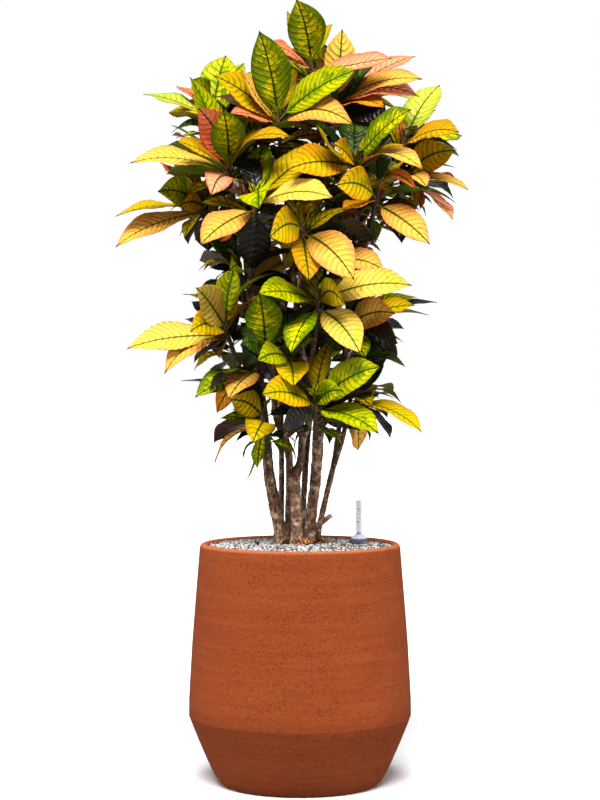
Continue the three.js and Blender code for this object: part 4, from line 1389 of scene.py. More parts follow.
@dataclass(frozen=True)
class Bark(Finish):
    """Thin bark: dull, finely furrowed along the stem, with pale lichen on the old wood."""

    name: str
    ground: str
    crevice: str
    lichen: str
    lichen_share: float
    furrow: float = 2.0  # mm between furrows; finer ones wouldn't show
    patch: float = 16.0  # mm
    roughness: float = 0.85
    relief: float = 0.6  # mm

    def paint(self, wires: Wiring, place: Socket) -> dict:
        """Lays out the nodes.

        Args:
            wires: the tree's builder.
            place: where a point lies.

        Returns:
            What feeds the shader.
        """
        add = wires.add
        grain_place = add("Mapping", {0: place, 3: (1, 1, 0.4)})
        grain = add(
            "TexNoise",
            {
                "Vector": grain_place, "Scale": per_metre(self.furrow),
                "Detail": 4, "Roughness": 0.65,
            },
        )
        dark = add("MapRange", {0: grain, 1: 0.4, 2: 0.55, 3: 0.92, 4: 0}, **SMOOTH)
        cloud = add(
            "TexNoise",
            {"Vector": place, "Scale": per_metre(self.patch), "Detail": 6, "Roughness": 0.72},
        )
        damp = add("MapRange", {0: cloud, 1: 0.36, 2: 0.48, 3: 0.8, 4: 0}, **SMOOTH)
        dark = add("Math", {0: dark, 1: damp}, operation="MAXIMUM")
        pale = add(
            "MapRange",
            {0: cloud, 1: 0.66 - 0.3 * self.lichen_share, 2: 0.76 - 0.3 * self.lichen_share},
            **SMOOTH,
        )
        pale = add("Math", {0: pale, 1: grain}, operation="MULTIPLY")
        pale = add("Math", {0: pale, 1: 1.6}, operation="MULTIPLY", use_clamp=True)
        face = add("Mix", {0: dark, 6: linear(self.ground), 7: linear(self.crevice)}, **MIX)
        face = add("Mix", {0: pale, 6: face, 7: linear(self.lichen)}, **MIX)
        height = add("Math", {0: pale, 1: 0.4, 2: grain}, operation="MULTIPLY_ADD")
        bump = add("Bump", {"Height": height, "Distance": self.relief * MM})
        return {"Base Color": face, "Roughness": self.roughness, "Normal": bump}


@dataclass(frozen=True)
class Terracotta(Finish):
    """Fired red clay, turned and smoothed: matt, with fine rings and small pits; painted shade under
    the shoulder, a painted highlight on the rim.
    """

    name: str = "terracotta"
    ground: str = "883C17"
    pale: str = "9E4E24"
    # The colour of the painted shade under the shoulder.
    under_shoulder_shade: str = "4C1C06"
    scratch: str = "5C220C"
    # The colour of the painted highlight on the rim.
    rim_highlight: str = "C87448"
    band_gap: float = 9.0  # mm
    scratch_gap: float = 0.8  # mm; the real ones are finer, drawn coarser so that they show
    scratch_run: float = 5.0  # times as long as they are high
    scratch_patch: float = 45.455  # mm, how far a stretch with more of them goes
    grit: float = 1.1  # mm
    # How far down from the rim's top the painted highlight reaches.
    rim_highlight_depth: float = 6.0  # mm below the rim's top
    roughness: float = 0.85
    gloss: float = 0.15
    relief: float = 0.6  # mm

    def paint(self, wires: Wiring, place: Socket) -> dict:
        """Lays out the nodes.

        Args:
            wires: the tree's builder.
            place: where a point lies.

        Returns:
            What feeds the shader.
        """
        add = wires.add
        # Bands: noise that hardly changes round the pot, and quickly upwards.
        band_place = add("Mapping", {0: place, 3: (0.05, 0.05, 1)})
        bands = add(
            "TexNoise", {"Vector": band_place, "Scale": per_metre(self.band_gap), "Detail": 2}
        )
        # Scratches left by grit under the rib as the pot turned.
        run = 1 / self.scratch_run
        scratch_place = add("Mapping", {0: place, 3: (run, run, 1)})
        scratches = add(
            "TexNoise",
            {"Vector": scratch_place, "Scale": per_metre(self.scratch_gap), "Detail": 3,
             "Roughness": 0.6},
        )
        thick = add(
            "TexNoise", {"Vector": place, "Scale": per_metre(self.scratch_patch), "Detail": 2}
        )
        least = add("MapRange", {0: thick, 1: 0.35, 2: 0.65, 3: 0.31, 4: 0.34})
        most = add("Math", {0: least, 1: 0.12}, operation="ADD")
        scratch = add("MapRange", {0: scratches, 1: least, 2: most, 3: 1, 4: 0}, **SMOOTH)
        dust = add("TexNoise", {"Vector": place, "Scale": per_metre(self.grit), "Detail": 3})
        light = add("MapRange", {0: bands, 1: 0.35, 2: 0.7, 4: 0.3}, **SMOOTH)
        face = add("Mix", {0: light, 6: linear(self.ground), 7: linear(self.pale)}, **MIX)
        # Painted shade: below the shoulder the foot is darker, most just under the shoulder's edge,
        # where shade falls.
        height = add("SeparateXYZ", {0: place}, output=2)
        shoulder = POT.shoulder_height * MM
        foot = add("MapRange", {0: height, 1: 0, 2: shoulder, 3: 0.02, 4: 0.16})
        below = add("Math", {0: height, 1: shoulder}, operation="LESS_THAN")
        foot = add("Math", {0: foot, 1: below}, operation="MULTIPLY")
        face = add("Mix", {0: foot, 6: face, 7: linear(self.under_shoulder_shade)}, **MIX)
        # Painted highlight: the rim's top few millimetres are paler, standing in for the light on
        # its rounded lip.
        top = POT.height * MM
        rim = add(
            "MapRange",
            {0: height, 1: top - self.rim_highlight_depth * MM, 2: top - 2 * MM, 4: 0.62},
            **SMOOTH,
        )
        face = add("Mix", {0: rim, 6: face, 7: linear(self.rim_highlight)}, **MIX)
        grit = add("MapRange", {0: dust, 1: 0.34, 2: 0.66, 3: 0.76, 4: 1.14})
        face = wires.shade(face, grit)
        shown = add("Math", {0: scratch, 1: 0.46}, operation="MULTIPLY")
        face = add("Mix", {0: shown, 6: face, 7: linear(self.scratch)}, **MIX)
        relief = add("Math", {0: scratch, 1: -1.2, 2: dust}, operation="MULTIPLY_ADD")
        bump = add("Bump", {"Height": relief, "Distance": self.relief * MM})
        return {
            "Base Color": face, "Roughness": self.roughness, "Normal": bump,
            "Specular IOR Level": self.gloss,
        }  # fmt: skip


@dataclass(frozen=True)
class Stone(Finish):
    """White quartz gravel: chalky, a few stones grey or tan, each with its own tone."""

    name: str = "white_quartz_gravel"
    white: str = "CCD8DC"
    cream: str = "B8A694"
    grey: str = "5C504C"
    grain: float = 2.5  # mm
    roughness: float = 0.6

    def paint(self, wires: Wiring, place: Socket) -> dict:
        """Lays out the nodes.

        Args:
            wires: the tree's builder.
            place: where a point lies.

        Returns:
            What feeds the shader.
        """
        add = wires.add
        tone = add("Attribute", output=2, attribute_name="tone")
        grain = add("TexNoise", {"Vector": place, "Scale": per_metre(self.grain), "Detail": 3})
        cream = add("MapRange", {0: tone, 1: 0.26, 2: 0.52})
        face = add("Mix", {0: cream, 6: linear(self.white), 7: linear(self.cream)}, **MIX)
        grey = add("MapRange", {0: tone, 1: 0.56, 2: 0.8})
        face = add("Mix", {0: grey, 6: face, 7: linear(self.grey)}, **MIX)
        shade = add("MapRange", {0: grain, 1: 0.3, 2: 0.7, 3: 0.85, 4: 1.0})
        face = wires.shade(face, shade)
        bump = add("Bump", {"Height": grain, "Distance": 0.5 * MM})
        return {"Base Color": face, "Roughness": self.roughness, "Normal": bump}


@dataclass(frozen=True)
class Crumb(Finish):
    """Dark, damp growing medium of bark crumbs and grit; as the bed under the gravel, its dark tone
    is painted shade between the stones.
    """

    name: str = "growing_medium"
    ground: str = "33261B"
    crumb: str = "5C4632"
    grain: float = 3.0  # mm
    roughness: float = 0.95

    def paint(self, wires: Wiring, place: Socket) -> dict:
        """Lays out the nodes.

        Args:
            wires: the tree's builder.
            place: where a point lies.

        Returns:
            What feeds the shader.
        """
        add = wires.add
        grain = add("TexNoise", {"Vector": place, "Scale": per_metre(self.grain), "Detail": 4})
        light = add("MapRange", {0: grain, 1: 0.45, 2: 0.7}, **SMOOTH)
        face = add("Mix", {0: light, 6: linear(self.ground), 7: linear(self.crumb)}, **MIX)
        bump = add("Bump", {"Height": grain, "Distance": self.grain * MM})
        return {"Base Color": face, "Roughness": self.roughness, "Normal": bump}


@dataclass(frozen=True)
class Plastic(Finish):
    """Moulded plastic: even, with a soft shine; a thin clear wall lets most light through."""

    name: str
    colour: str
    roughness: float
    opacity: float = 1.0
    grain: float = 0.8  # mm, the mould's faint texture

    def paint(self, wires: Wiring, place: Socket) -> dict:
        """Lays out the nodes.

        Args:
            wires: the tree's builder.
            place: where a point lies.

        Returns:
            What feeds the shader.
        """
        add = wires.add
        grain = add("TexNoise", {"Vector": place, "Scale": per_metre(self.grain), "Detail": 2})
        rough = add("MapRange", {0: grain, 3: self.roughness * 0.85, 4: self.roughness * 1.15})
        bump = add("Bump", {"Height": grain, "Distance": 0.01 * MM, "Strength": 0.2})
        return {
            "Base Color": linear(self.colour), "Roughness": rough, "Normal": bump,
            "Alpha": self.opacity,
        }  # fmt: skip


# Old leaves are darker and shine more.
OLD_LEAF = CrotonLeaf("old_croton_leaf", roughness=0.28, gloss=0.32, vein_depth=0.9)
# The stems' bark is brown-grey with pale lichen; the twigs' is smoother and still greenish.
OLD_BARK = Bark("croton_bark", "886044", "1C1009", "D0B49C", 0.5, furrow=2.8, relief=1.2)
YOUNG_BARK = Bark("young_croton_bark", "3C341A", "1A130A", "6E5E3C", 0.3, furrow=1.6, roughness=0.6)
# Moulded polycarbonate: thin and see-through, with a smooth shine.
CLEAR_PLASTIC = Plastic("clear_polycarbonate", "C4C6CC", 0.2, opacity=0.34)
# Moulded polypropylene: milky, with a faintly waxy sheen; the dark one is dyed through.
FROSTED_PLASTIC = Plastic("frosted_polypropylene", "C4C4D8", 0.35)
DARK_PLASTIC = Plastic("dark_polypropylene", "504A62", 0.4)
# Polystyrene: opaque and bright.
RED_PLASTIC = Plastic("red_polystyrene", "B02008", 0.3)
YELLOW_PLASTIC = Plastic("yellow_printed_mark", "E0BC2C", 0.4)


# ---------------------------------------------------------------- the plant's pieces
def settle(thing: bpy.types.Object, slot: str, *nodes: str) -> None:
    """Hands a finished piece to the frame.

    Args:
        thing: the piece.
        slot: the record's material slot; not used.
        nodes: the solids that it stands for.
    """
    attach(thing, ROOT)
    if nodes:
        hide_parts(*nodes)
    log.info("%s: %d faces", thing.name, len(thing.data.polygons))


@dataclass(frozen=True)
class BladeSizes:
    """The fine leaf: its rings and outline, cross-section, veins and how its tone varies."""

    stalk_rings: tuple[float, ...] = (0.015, 0.05, 0.085, 0.11, 0.135, 0.16, 0.19, 0.22)
    blade_rings: int = 17
    tip_rings: tuple[float, ...] = (0.945, 0.965, 0.98, 0.992)
    columns: tuple[float, ...] = (-1, -0.93, -0.75, -0.5, -0.22, 0, 0.22, 0.5, 0.75, 0.93, 1)
    foot: float = 0.12
    belly: float = 0.96
    blunt: float = 0.68
    taper: float = 0.55
    thickness: float = 0.8
    groove: float = 0.35
    ridge: float = 1.1
    rib_width: float = 1.6
    rib_wane: float = 0.7
    curl_from: float = 0.6
    curl: float = 4.0
    curl_least: float = 0.3
    sweep: float = 3.5
    ripple: float = 0.5
    ripple_gap: float = 0.115
    vein_gap: float = 11.0
    least_veins: int = 4
    vein_bow: float = 0.13
    vein_hook: float = 0.06
    vein_shift: float = 0.35
    tone: float = 0.9
    tone_spread: float = 0.2


BLADE = BladeSizes()


class LeafShape:
    """Turns leaves into fine skins, all with the same rings and columns."""

    def __init__(self) -> None:
        """Sets out the rings and columns that all leaves share."""
        middle = np.linspace(0.25, 0.92, BLADE.blade_rings)
        self.along = np.concatenate([BLADE.stalk_rings, middle, BLADE.tip_rings])[:, None]
        top = np.array(BLADE.columns)
        self.across = np.concatenate([top, top[-2:0:-1]])[None]
        self.upper = np.concatenate([np.ones(len(top)), -np.ones(len(top) - 2)])[None]
        self.faces = grid_faces(len(self.along), self.across.shape[1])[:, ::-1]
        self.share = (self.along - BLADE.foot) / (1 - BLADE.foot)

    def half_widths(self, width: float) -> Array:
        """Half the blade's width at each ring, or the stalk's where that is more.

        Args:
            width: the blade's greatest width.

        Returns:
            The half widths.
        """
        share = np.clip(self.share, 0, 1)
        outline = np.sin(math.pi * share**BLADE.belly) ** (BLADE.blunt + BLADE.taper * share**6)
        stalk = LEAF.stalk_width / 2 * np.clip((1 - self.along) * 4, 0, 1)
        return np.maximum(outline * width / 2, stalk)

    def add(self, skin: Skin, leaf: Leaf, draws: Draws, finish: int = 0) -> None:
        """Adds a leaf's fine skin, with the values that its material reads.

        Args:
            skin: what it is added to.
            leaf: the leaf.
            draws: the numbers that make it differ from the next.
            finish: the number of its material.
        """
        chord, length, normal, side, rise = leaf.axes()
        t, u = self.along, self.across
        seed = draws()
        half = self.half_widths(leaf.width)
        spread = np.clip(half / (leaf.width / 2), 0, 1)
        wave_from, wave_step = leaf.stations[0][0], leaf.stations[1][0] - leaf.stations[0][0]
        wave = -LEAF.wave * np.cos(math.pi * (t - wave_from) / wave_step)
        wave = wave + BLADE.ripple * np.sin(2 * math.pi * (t / BLADE.ripple_gap + seed))
        lift = LEAF.fold * half * np.abs(u) ** 1.3 + np.sign(u) * u**2 * wave * spread
        blade_share = np.clip((t - 0.1) / 0.1, 0, 1)
        thick = LEAF.stalk_width * (1 - blade_share) + BLADE.thickness * blade_share
        power = 2 + 6 * blade_share
        lift = lift + self.upper * thick / 2 * np.sqrt(1 - np.abs(u) ** power)
        rib = np.exp(-((u * half / BLADE.rib_width) ** 2)) * blade_share * (1 - BLADE.rib_wane * t)
        lift = lift - rib * np.where(self.upper > 0, BLADE.groove, BLADE.ridge)
        curled = np.clip((t - BLADE.curl_from) / 0.4, 0, 1) ** 2
        lift = lift - BLADE.curl * curled * (BLADE.curl_least + draws())
        sway = BLADE.sweep * (2 * draws() - 1) * np.sin(math.pi * t)
        centre = (
            leaf.root
            + chord * (t * length)[..., None]
            + rise * (4 * t * (1 - t) * leaf.arch)[..., None]
        )
        grid = centre + side * (u * half + sway)[..., None] + normal * lift[..., None]
        end = centre[-1, 0] + (chord * (1 - t[-1, 0]) * length)
        end = end + normal * (lift[-1, 0] - LEAF.fold * half[-1, 0]) + side * sway[-1, 0]
        points = np.concatenate([leaf.root[None], grid.reshape(-1, 3), end[None]])

        blade_length = length * (1 - BLADE.foot)
        pairs = max(BLADE.least_veins, round(blade_length / BLADE.vein_gap))
        bow = self.share - BLADE.vein_bow * np.abs(u) - BLADE.vein_hook * np.abs(u) ** 3
        vein = pairs * bow + BLADE.vein_shift * (u > 0) + seed
        flat = {
            "leaf_u": (u + 0 * t, 0, 0),
            "leaf_v": (t + 0 * u, 0, 1),
            "leaf_across": (u * half, 0, 0),
            "vein": (vein, vein[0, 5], vein[-1, 5]),
            "underside": (np.where(self.upper < 0, 1.0, 0.0) + 0 * t, 0, 0),
        }
        values = {
            name: np.concatenate([[first], value.ravel(), [last]])
            for name, (value, first, last) in flat.items()
        }
        colours = LEAF_COLOURS[leaf.tint]
        bright = BLADE.tone + BLADE.tone_spread * draws()
        for name in LEAF_PARTS:
            tone = np.array(linear(getattr(colours, name)))
            tone[:3] *= bright
            values[f"{name}_colour"] = tone
        skin.add(
            points,
            self.faces,
            finish,
            vein_gap=blade_length / pairs,
            leaf_seed=seed,
            mottled=colours.mottled,
            **values,
        )


# What stands in for them on a twig, which shares a leaf's mesh but not its material.
NO_LEAF = {
    **dict.fromkeys(LEAF_NUMBERS, 0.0),
    **{f"{name}_colour": (0, 0, 0, 1.0) for name in LEAF_PARTS},
}


# How much of a limb's knots is lumps, and how much the scars that fallen leaves left, in mm.
LUMP_SHARE = 0.4
SCAR_SHARE = 1.1
SCAR_GAP = 17
SCAR_WIDTH = 1.8


def sweep(
    skin: Skin, route: Sequence[Station], sides: int, knots: float = 0.0, seed: float = 0.0,
    **options: object,
) -> None:  # fmt: skip
    """Adds a round, slightly knotted limb.

    Args:
        skin: what it is added to.
        route: its stations, close together.
        sides: points round it.
        knots: how far its surface wanders, as a share of its radius.
        seed: what sets its knots apart from another's.
        options: what Skin.add takes.
    """
    stations = np.array(route, float)
    centres, radii = stations[:, :3], stations[:, 3]
    ways = np.gradient(centres, axis=0)
    ways /= np.linalg.norm(ways, axis=1)[:, None]
    across = np.array((1.0, 0, 0)) - ways * ways[:, :1]
    across /= np.linalg.norm(across, axis=1)[:, None]
    third = np.cross(ways, across)
    angle = np.arange(sides) / sides * 2 * math.pi
    steps = np.linalg.norm(np.diff(centres, axis=0), axis=1)
    run = np.concatenate([[0], np.cumsum(steps)])[:, None]
    lumps = (
        np.sin(run / 9 + 3 * np.sin(angle + seed) + seed)
        + 0.8 * np.sin(run / 4.1 + 2 * angle + 5 * seed)
        + 0.7 * np.sin(run / 23 - angle + 9 * seed)
    )
    scars = np.exp(-(((run + 13 * seed) % SCAR_GAP - SCAR_GAP // 2) ** 2) / SCAR_WIDTH)
    reach = radii[:, None] * (1 + knots * (LUMP_SHARE * lumps + SCAR_SHARE * scars))
    grid = (
        centres[:, None]
        + across[:, None] * (np.cos(angle) * reach)[..., None]
        + third[:, None] * (np.sin(angle) * reach)[..., None]
    )
    points = np.concatenate([centres[:1], grid.reshape(-1, 3), centres[-1:]])
    skin.add(points, grid_faces(len(stations), sides), **options)


def smooth_route(route: Sequence[Station], step: float) -> list[tuple[float, ...]]:
    """A route through the same stations, smooth and cut into short steps.

    Args:
        route: the stations.
        step: the distance between the new stations.

    Returns:
        The new stations.
    """
    points = np.array(route, float)
    padded = np.concatenate([2 * points[:1] - points[1:2], points, 2 * points[-1:] - points[-2:-1]])
    result = []
    for p0, p1, p2, p3 in zip(padded, padded[1:], padded[2:], padded[3:]):
        count = max(2, round(float(np.linalg.norm((p2 - p1)[:3])) / step))
        for t in np.arange(count) / count:
            result.append(
                0.5
                * (
                    2 * p1
                    + (p2 - p0) * t
                    + (2 * p0 - 5 * p1 + 4 * p2 - p3) * t**2
                    + (3 * p1 - p0 - 3 * p2 + p3) * t**3
                )
            )
    result.append(points[-1])
    return [tuple(point) for point in result]


@dataclass(frozen=True)
class YoungLeaves:
    """The small, still upright leaves round a growing tip."""

    count: int = 3
    length: float = 32
    width: float = 11
    spread: float = 0.5
    rise: float = 4
    upright: float = 1.6
    arch: float = 2
    tints: tuple[Tint, ...] = (LIME, OLIVE, GREEN)

    def on(self, branch: Branch, draws: Draws) -> Iterator[Leaf]:
        """The young leaves of a branch's tip.

        Args:
            branch: the branch.
            draws: the numbers that make them differ.

        Returns:
            The leaves, one by one.
        """
        across = square_to(np.array((1.0, 0, 0)), branch.along)
        for index in range(self.count):
            way = turned(across, branch.along, index * RULE.turn + 90 * draws())
            root = branch.tip + branch.along * (SHOOT.roots_above + self.rise) + way
            length = self.length * (0.7 + self.spread * draws())
            reach = unit(branch.along * self.upright + way) * length
            width = self.width * (0.8 + self.spread * draws())
            facing = branch.along * 0.4 - way
            yield Leaf(root, root + reach, facing, width, self.arch, STATIONS, self.tints[index])


@dataclass
class Foliage:
    """Every leafy shoot, as one piece each."""

    plant: Plant
    slots: dict[str, str]
    young: YoungLeaves = YoungLeaves()
    twig_step: float = 5.0
    twig_sides: int = 12

    def build(self) -> None:
        """Builds the shoots."""
        finishes = (CrotonLeaf(), YOUNG_BARK, OLD_LEAF)
        materials = [finish.material() for finish in finishes]
        shape, draws = LeafShape(), Draws(RULE.seed + 2)
        for shoot in SHOOTS:
            skin = Skin()
            branch = self.plant.branches[shoot.name]
            for leaf in [*self.plant.leaves[shoot.name], *self.young.on(branch, draws)]:
                shape.add(skin, leaf, draws, 2 if leaf.tint in OLD_TINTS else 0)
            twig = smooth_route(branch.twig(), self.twig_step)
            sweep(skin, twig, self.twig_sides, knots=0.1, seed=draws(), finish=1, **NO_LEAF)
            node = f"leafy_shoot_{shoot.name}"
            thing = skin.piece(f"croton_shoot_{shoot.name}", *materials)
            settle(thing, self.slots[node], node)


@dataclass
class Wood:
    """The stems with their branches, one piece for each stem."""

    plant: Plant
    slots: dict[str, str]
    step: float = 3.0
    sides: int = 20
    branch_sides: int = 14
    branch_steps: int = 26
    roots: int = 5
    root_sides: int = 10
    root_radius: float = 0.34
    root_reach: float = 1.6
    root_rise: float = 16.0
    flare: float = 0.16
    flare_height: float = 20.0

    def build(self) -> None:
        """Builds the stems."""
        material = OLD_BARK.material()
        draws = Draws(RULE.seed + 3)
        for name, routes in STEMS.items():
            skin = Skin()
            for route in routes:
                stations = [self.flared(station) for station in smooth_route(route, self.step)]
                sweep(skin, stations, self.sides, knots=0.09, seed=draws())
            for shoot in SHOOTS:
                if shoot.stem == name:
                    stations = self.plant.branches[shoot.name].stations(self.branch_steps)
                    sweep(skin, stations, self.branch_sides, knots=0.08, seed=draws())
            self.add_roots(skin, routes[0], draws)
            node = f"stem_{name}"
            settle(skin.piece(f"croton_stem_{name}", material), self.slots[node], node)

    def add_roots(self, skin: Skin, trunk: Route, draws: Draws) -> None:
        """Adds the tops of the roots that spread from a trunk's foot into the gravel.

        Args:
            skin: what they are added to.
            trunk: the trunk's stations.
            draws: the numbers that make them differ.
        """
        foot = at_height(trunk, FILL.gravel_top)
        for index in range(self.roots):
            bearing = index * math.radians(RULE.turn) + draws()
            way = np.array((math.cos(bearing), math.sin(bearing), 0))
            radius = foot[3] * (self.root_radius + 0.2 * draws())
            reach = foot[3] * (self.root_reach + 0.9 * draws())
            route = [
                (*(foot[:3] + (0, 0, self.root_rise + 10 * draws())), radius * 0.8),
                (*(foot[:3] + way * reach * 0.45 + (0, 0, 6)), radius),
                (*(foot[:3] + way * reach + (0, 0, -6)), radius * 0.7),
            ]
            sweep(skin, smooth_route(route, 2.0), self.root_sides, knots=0.12, seed=draws())

    def flared(self, station: Sequence[float]) -> tuple[float, ...]:
        """A station, thicker where the stem spreads into its roots at the gravel.

        Args:
            station: the station.

        Returns:
            The thicker one.
        """
        x, y, z, radius = station
        near = math.exp(-(((z - FILL.gravel_top) / self.flare_height) ** 2))
        return x, y, z, radius * (1 + self.flare * near)


# ---------------------------------------------------------------- pot, gravel and gauge
@dataclass
class ClayPot:
    """The turned clay pot."""

    slots: dict[str, str]
    sides: int = 160

    def build(self) -> None:
        """Builds the pot."""
        shoulder_top = POT.shoulder_height + POT.band_height
        outside = [
            (POT.foot_radius, 0), (POT.foot_radius + 2.5, 1.6), (POT.foot_radius + 7, 5),
            (143.5, 17), (154, 39), (165.7, 66), (176.7, 92.5),
            (POT.shoulder_radius - 0.4, POT.shoulder_height - 0.8),
            (POT.shoulder_radius, POT.shoulder_height + 0.4),
            (POT.shoulder_radius, shoulder_top), (183.3, 172), (179.5, 239), (174.2, 306),
            (POT.rim_radius + 1.5, POT.height - 28), (POT.rim_radius, POT.height - 8),
            (POT.rim_radius - 0.9, POT.height - 4), (POT.rim_radius - 3, POT.height - 1.2),
            (POT.rim_radius - 6, POT.height), (POT.rim_radius - 9, POT.height - 0.6),
            (POT.rim_radius - 12, POT.height - 2.6),
        ]  # fmt: skip
        inside = [
            (POT.rim_radius - POT.wall + 1, POT.height - 6),
            (POT.rim_radius - POT.wall, POT.height - 11),
            (POT.shoulder_radius - POT.wall, shoulder_top),
            (POT.shoulder_radius - POT.wall - 2, POT.shoulder_height),
            (POT.foot_radius, POT.floor + 12), (POT.foot_radius - 14, POT.floor),
        ]  # fmt: skip
        skin = Skin()
        lathe(skin, [(0, 0), *outside, *inside, (0, POT.floor)], self.sides)
        pot = skin.piece("clay_pot", Terracotta().material())
        pot.data.set_sharp_from_angle(angle=math.radians(32))
        settle(pot, self.slots["pot"], "pot")


@dataclass
class GravelTopping:
    """White gravel on a low dome, its stones scattered by Geometry Nodes."""

    slots: dict[str, str]
    spacing: float = 3.8
    stone: float = 5.4
    least: float = 0.62
    roundness: float = 0.72
    chip: float = 0.55
    chips_per_metre: float = 260
    sunk: float = 0.2
    most_per_square_metre: float = 60000.0
    sides: int = 64

    def build(self) -> None:
        """Builds the gravel."""
        bed = Skin()
        lift = self.stone * self.sunk
        top = [
            (FILL.radius * share, FILL.gravel_top - lift + FILL.crown * (1 - share * share))
            for share in (1, 0.85, 0.7, 0.55, 0.4, 0.25, 0.1)
        ]
        centre = (0, FILL.gravel_top - lift + FILL.crown)
        profile = [(0, FILL.gravel_foot), (FILL.radius, FILL.gravel_foot), *top, centre]
        lathe(bed, profile, self.sides, tone=0.95)
        thing = bed.piece("gravel_topping_stones")
        modifier = thing.modifiers.new("scatter", "NODES")
        modifier.node_group = self.tree()
        settings = {
            "Spacing": self.spacing * MM, "Stone size": self.stone * MM, "Seed": FILL.seed,
            "Stone finish": Stone().material(),
            # The bed stands for the gravel further down; its dark tone is painted shade in the gaps
            # between the stones.
            "Bed finish": Crumb("gravel_bed", "4A3E3C", "6A605C").material(),
        }  # fmt: skip
        for socket in modifier.node_group.interface.items_tree:
            if socket.name in settings:
                modifier[socket.identifier] = settings[socket.name]
        graph = bpy.context.evaluated_depsgraph_get()
        mesh = bpy.data.meshes.new_from_object(thing.evaluated_get(graph), depsgraph=graph)
        thing.modifiers.remove(modifier)
        thing.data = mesh
        settle(thing, self.slots["gravel_topping"], "gravel_topping")

    def tree(self) -> bpy.types.NodeTree:
        """Builds the tree that scatters the stones.

        Returns:
            The tree.
        """
        tree = bpy.data.node_groups.new("scattered_gravel", "GeometryNodeTree")
        wires = Wiring(tree)
        sockets = (
            ("Bed", "NodeSocketGeometry"), ("Spacing", "NodeSocketFloat"),
            ("Stone size", "NodeSocketFloat"), ("Seed", "NodeSocketInt"),
            ("Stone finish", "NodeSocketMaterial"), ("Bed finish", "NodeSocketMaterial"),
        )  # fmt: skip
        for name, kind in sockets:
            tree.interface.new_socket(name, in_out="INPUT", socket_type=kind)
        tree.interface.new_socket("Gravel", in_out="OUTPUT", socket_type="NodeSocketGeometry")
        add = wires.add
        add("NodeGroupInput")
        given = tree.nodes[0].outputs

        facing = add("GeometryNodeInputNormal")
        up = add("SeparateXYZ", {0: facing}, output=2)
        top = add("FunctionNodeCompare", {0: up, 1: 0.5}, operation="GREATER_THAN")
        spots = add(
            "GeometryNodeDistributePointsOnFaces",
            {"Mesh": given["Bed"], "Selection": top, "Distance Min": given["Spacing"],
             "Density Max": self.most_per_square_metre, "Seed": given["Seed"]},
            distribute_method="POISSON",
        )
        # One stone: a cube of 48 triangles, drawn most of the way to a ball.
        cube = add("GeometryNodeMeshCube", {1: 3, 2: 3, 3: 3})
        position = add("GeometryNodeInputPosition")
        ball = add("VectorMath", {0: position}, operation="NORMALIZE")
        eased = add("Mix", {0: self.roundness, 4: position, 5: ball}, output=1, data_type="VECTOR")
        pebble = add("GeometryNodeSetPosition", {"Geometry": cube, "Position": eased})
        turn = add(
            "FunctionNodeRandomValue",
            {0: (0, 0, 0), 1: (math.tau, math.tau, math.tau), 8: given["Seed"]},
            data_type="FLOAT_VECTOR",
        )
        stretch = add(
            "FunctionNodeRandomValue",
            {0: (self.least, self.least, self.least * 0.7), 1: (1.1, 1.0, 0.85), 8: 5},
            data_type="FLOAT_VECTOR",
        )
        radius = add("Math", {0: given["Stone size"], 1: 0.5}, operation="MULTIPLY")
        size = add("VectorMath", {0: stretch, "Scale": radius}, operation="SCALE")
        stones = add(
            "GeometryNodeInstanceOnPoints",
            {"Points": spots, "Instance": pebble, "Rotation": turn, "Scale": size},
        )
        tone = add("FunctionNodeRandomValue", {2: 0.0, 3: 1.0, 8: 9}, output=1, data_type="FLOAT")
        stones = add(
            "GeometryNodeStoreNamedAttribute",
            {"Geometry": stones, "Name": "tone", "Value": tone},
            data_type="FLOAT", domain="INSTANCE",
        )
        stones = add("GeometryNodeRealizeInstances", {0: stones})
        place = add("GeometryNodeInputPosition")
        chips = add(
            "TexNoise", {"Vector": place, "Scale": self.chips_per_metre, "Detail": 1}, output=1
        )
        chips = add("VectorMath", {0: chips, 1: (0.5, 0.5, 0.5)}, operation="SUBTRACT")
        chips = add(
            "VectorMath", {0: chips, "Scale": self.stone * MM * self.chip}, operation="SCALE"
        )
        stones = add("GeometryNodeSetPosition", {"Geometry": stones, "Offset": chips})
        stones = add(
            "GeometryNodeSetMaterial", {"Geometry": stones, "Material": given["Stone finish"]}
        )
        bed = add(
            "GeometryNodeSetMaterial", {"Geometry": given["Bed"], "Material": given["Bed finish"]}
        )
        join = tree.nodes.new("GeometryNodeJoinGeometry")
        for part in (bed, stones):
            tree.links.new(part, join.inputs[0])
        add("NodeGroupOutput", {0: join.outputs[0]})
        return tree


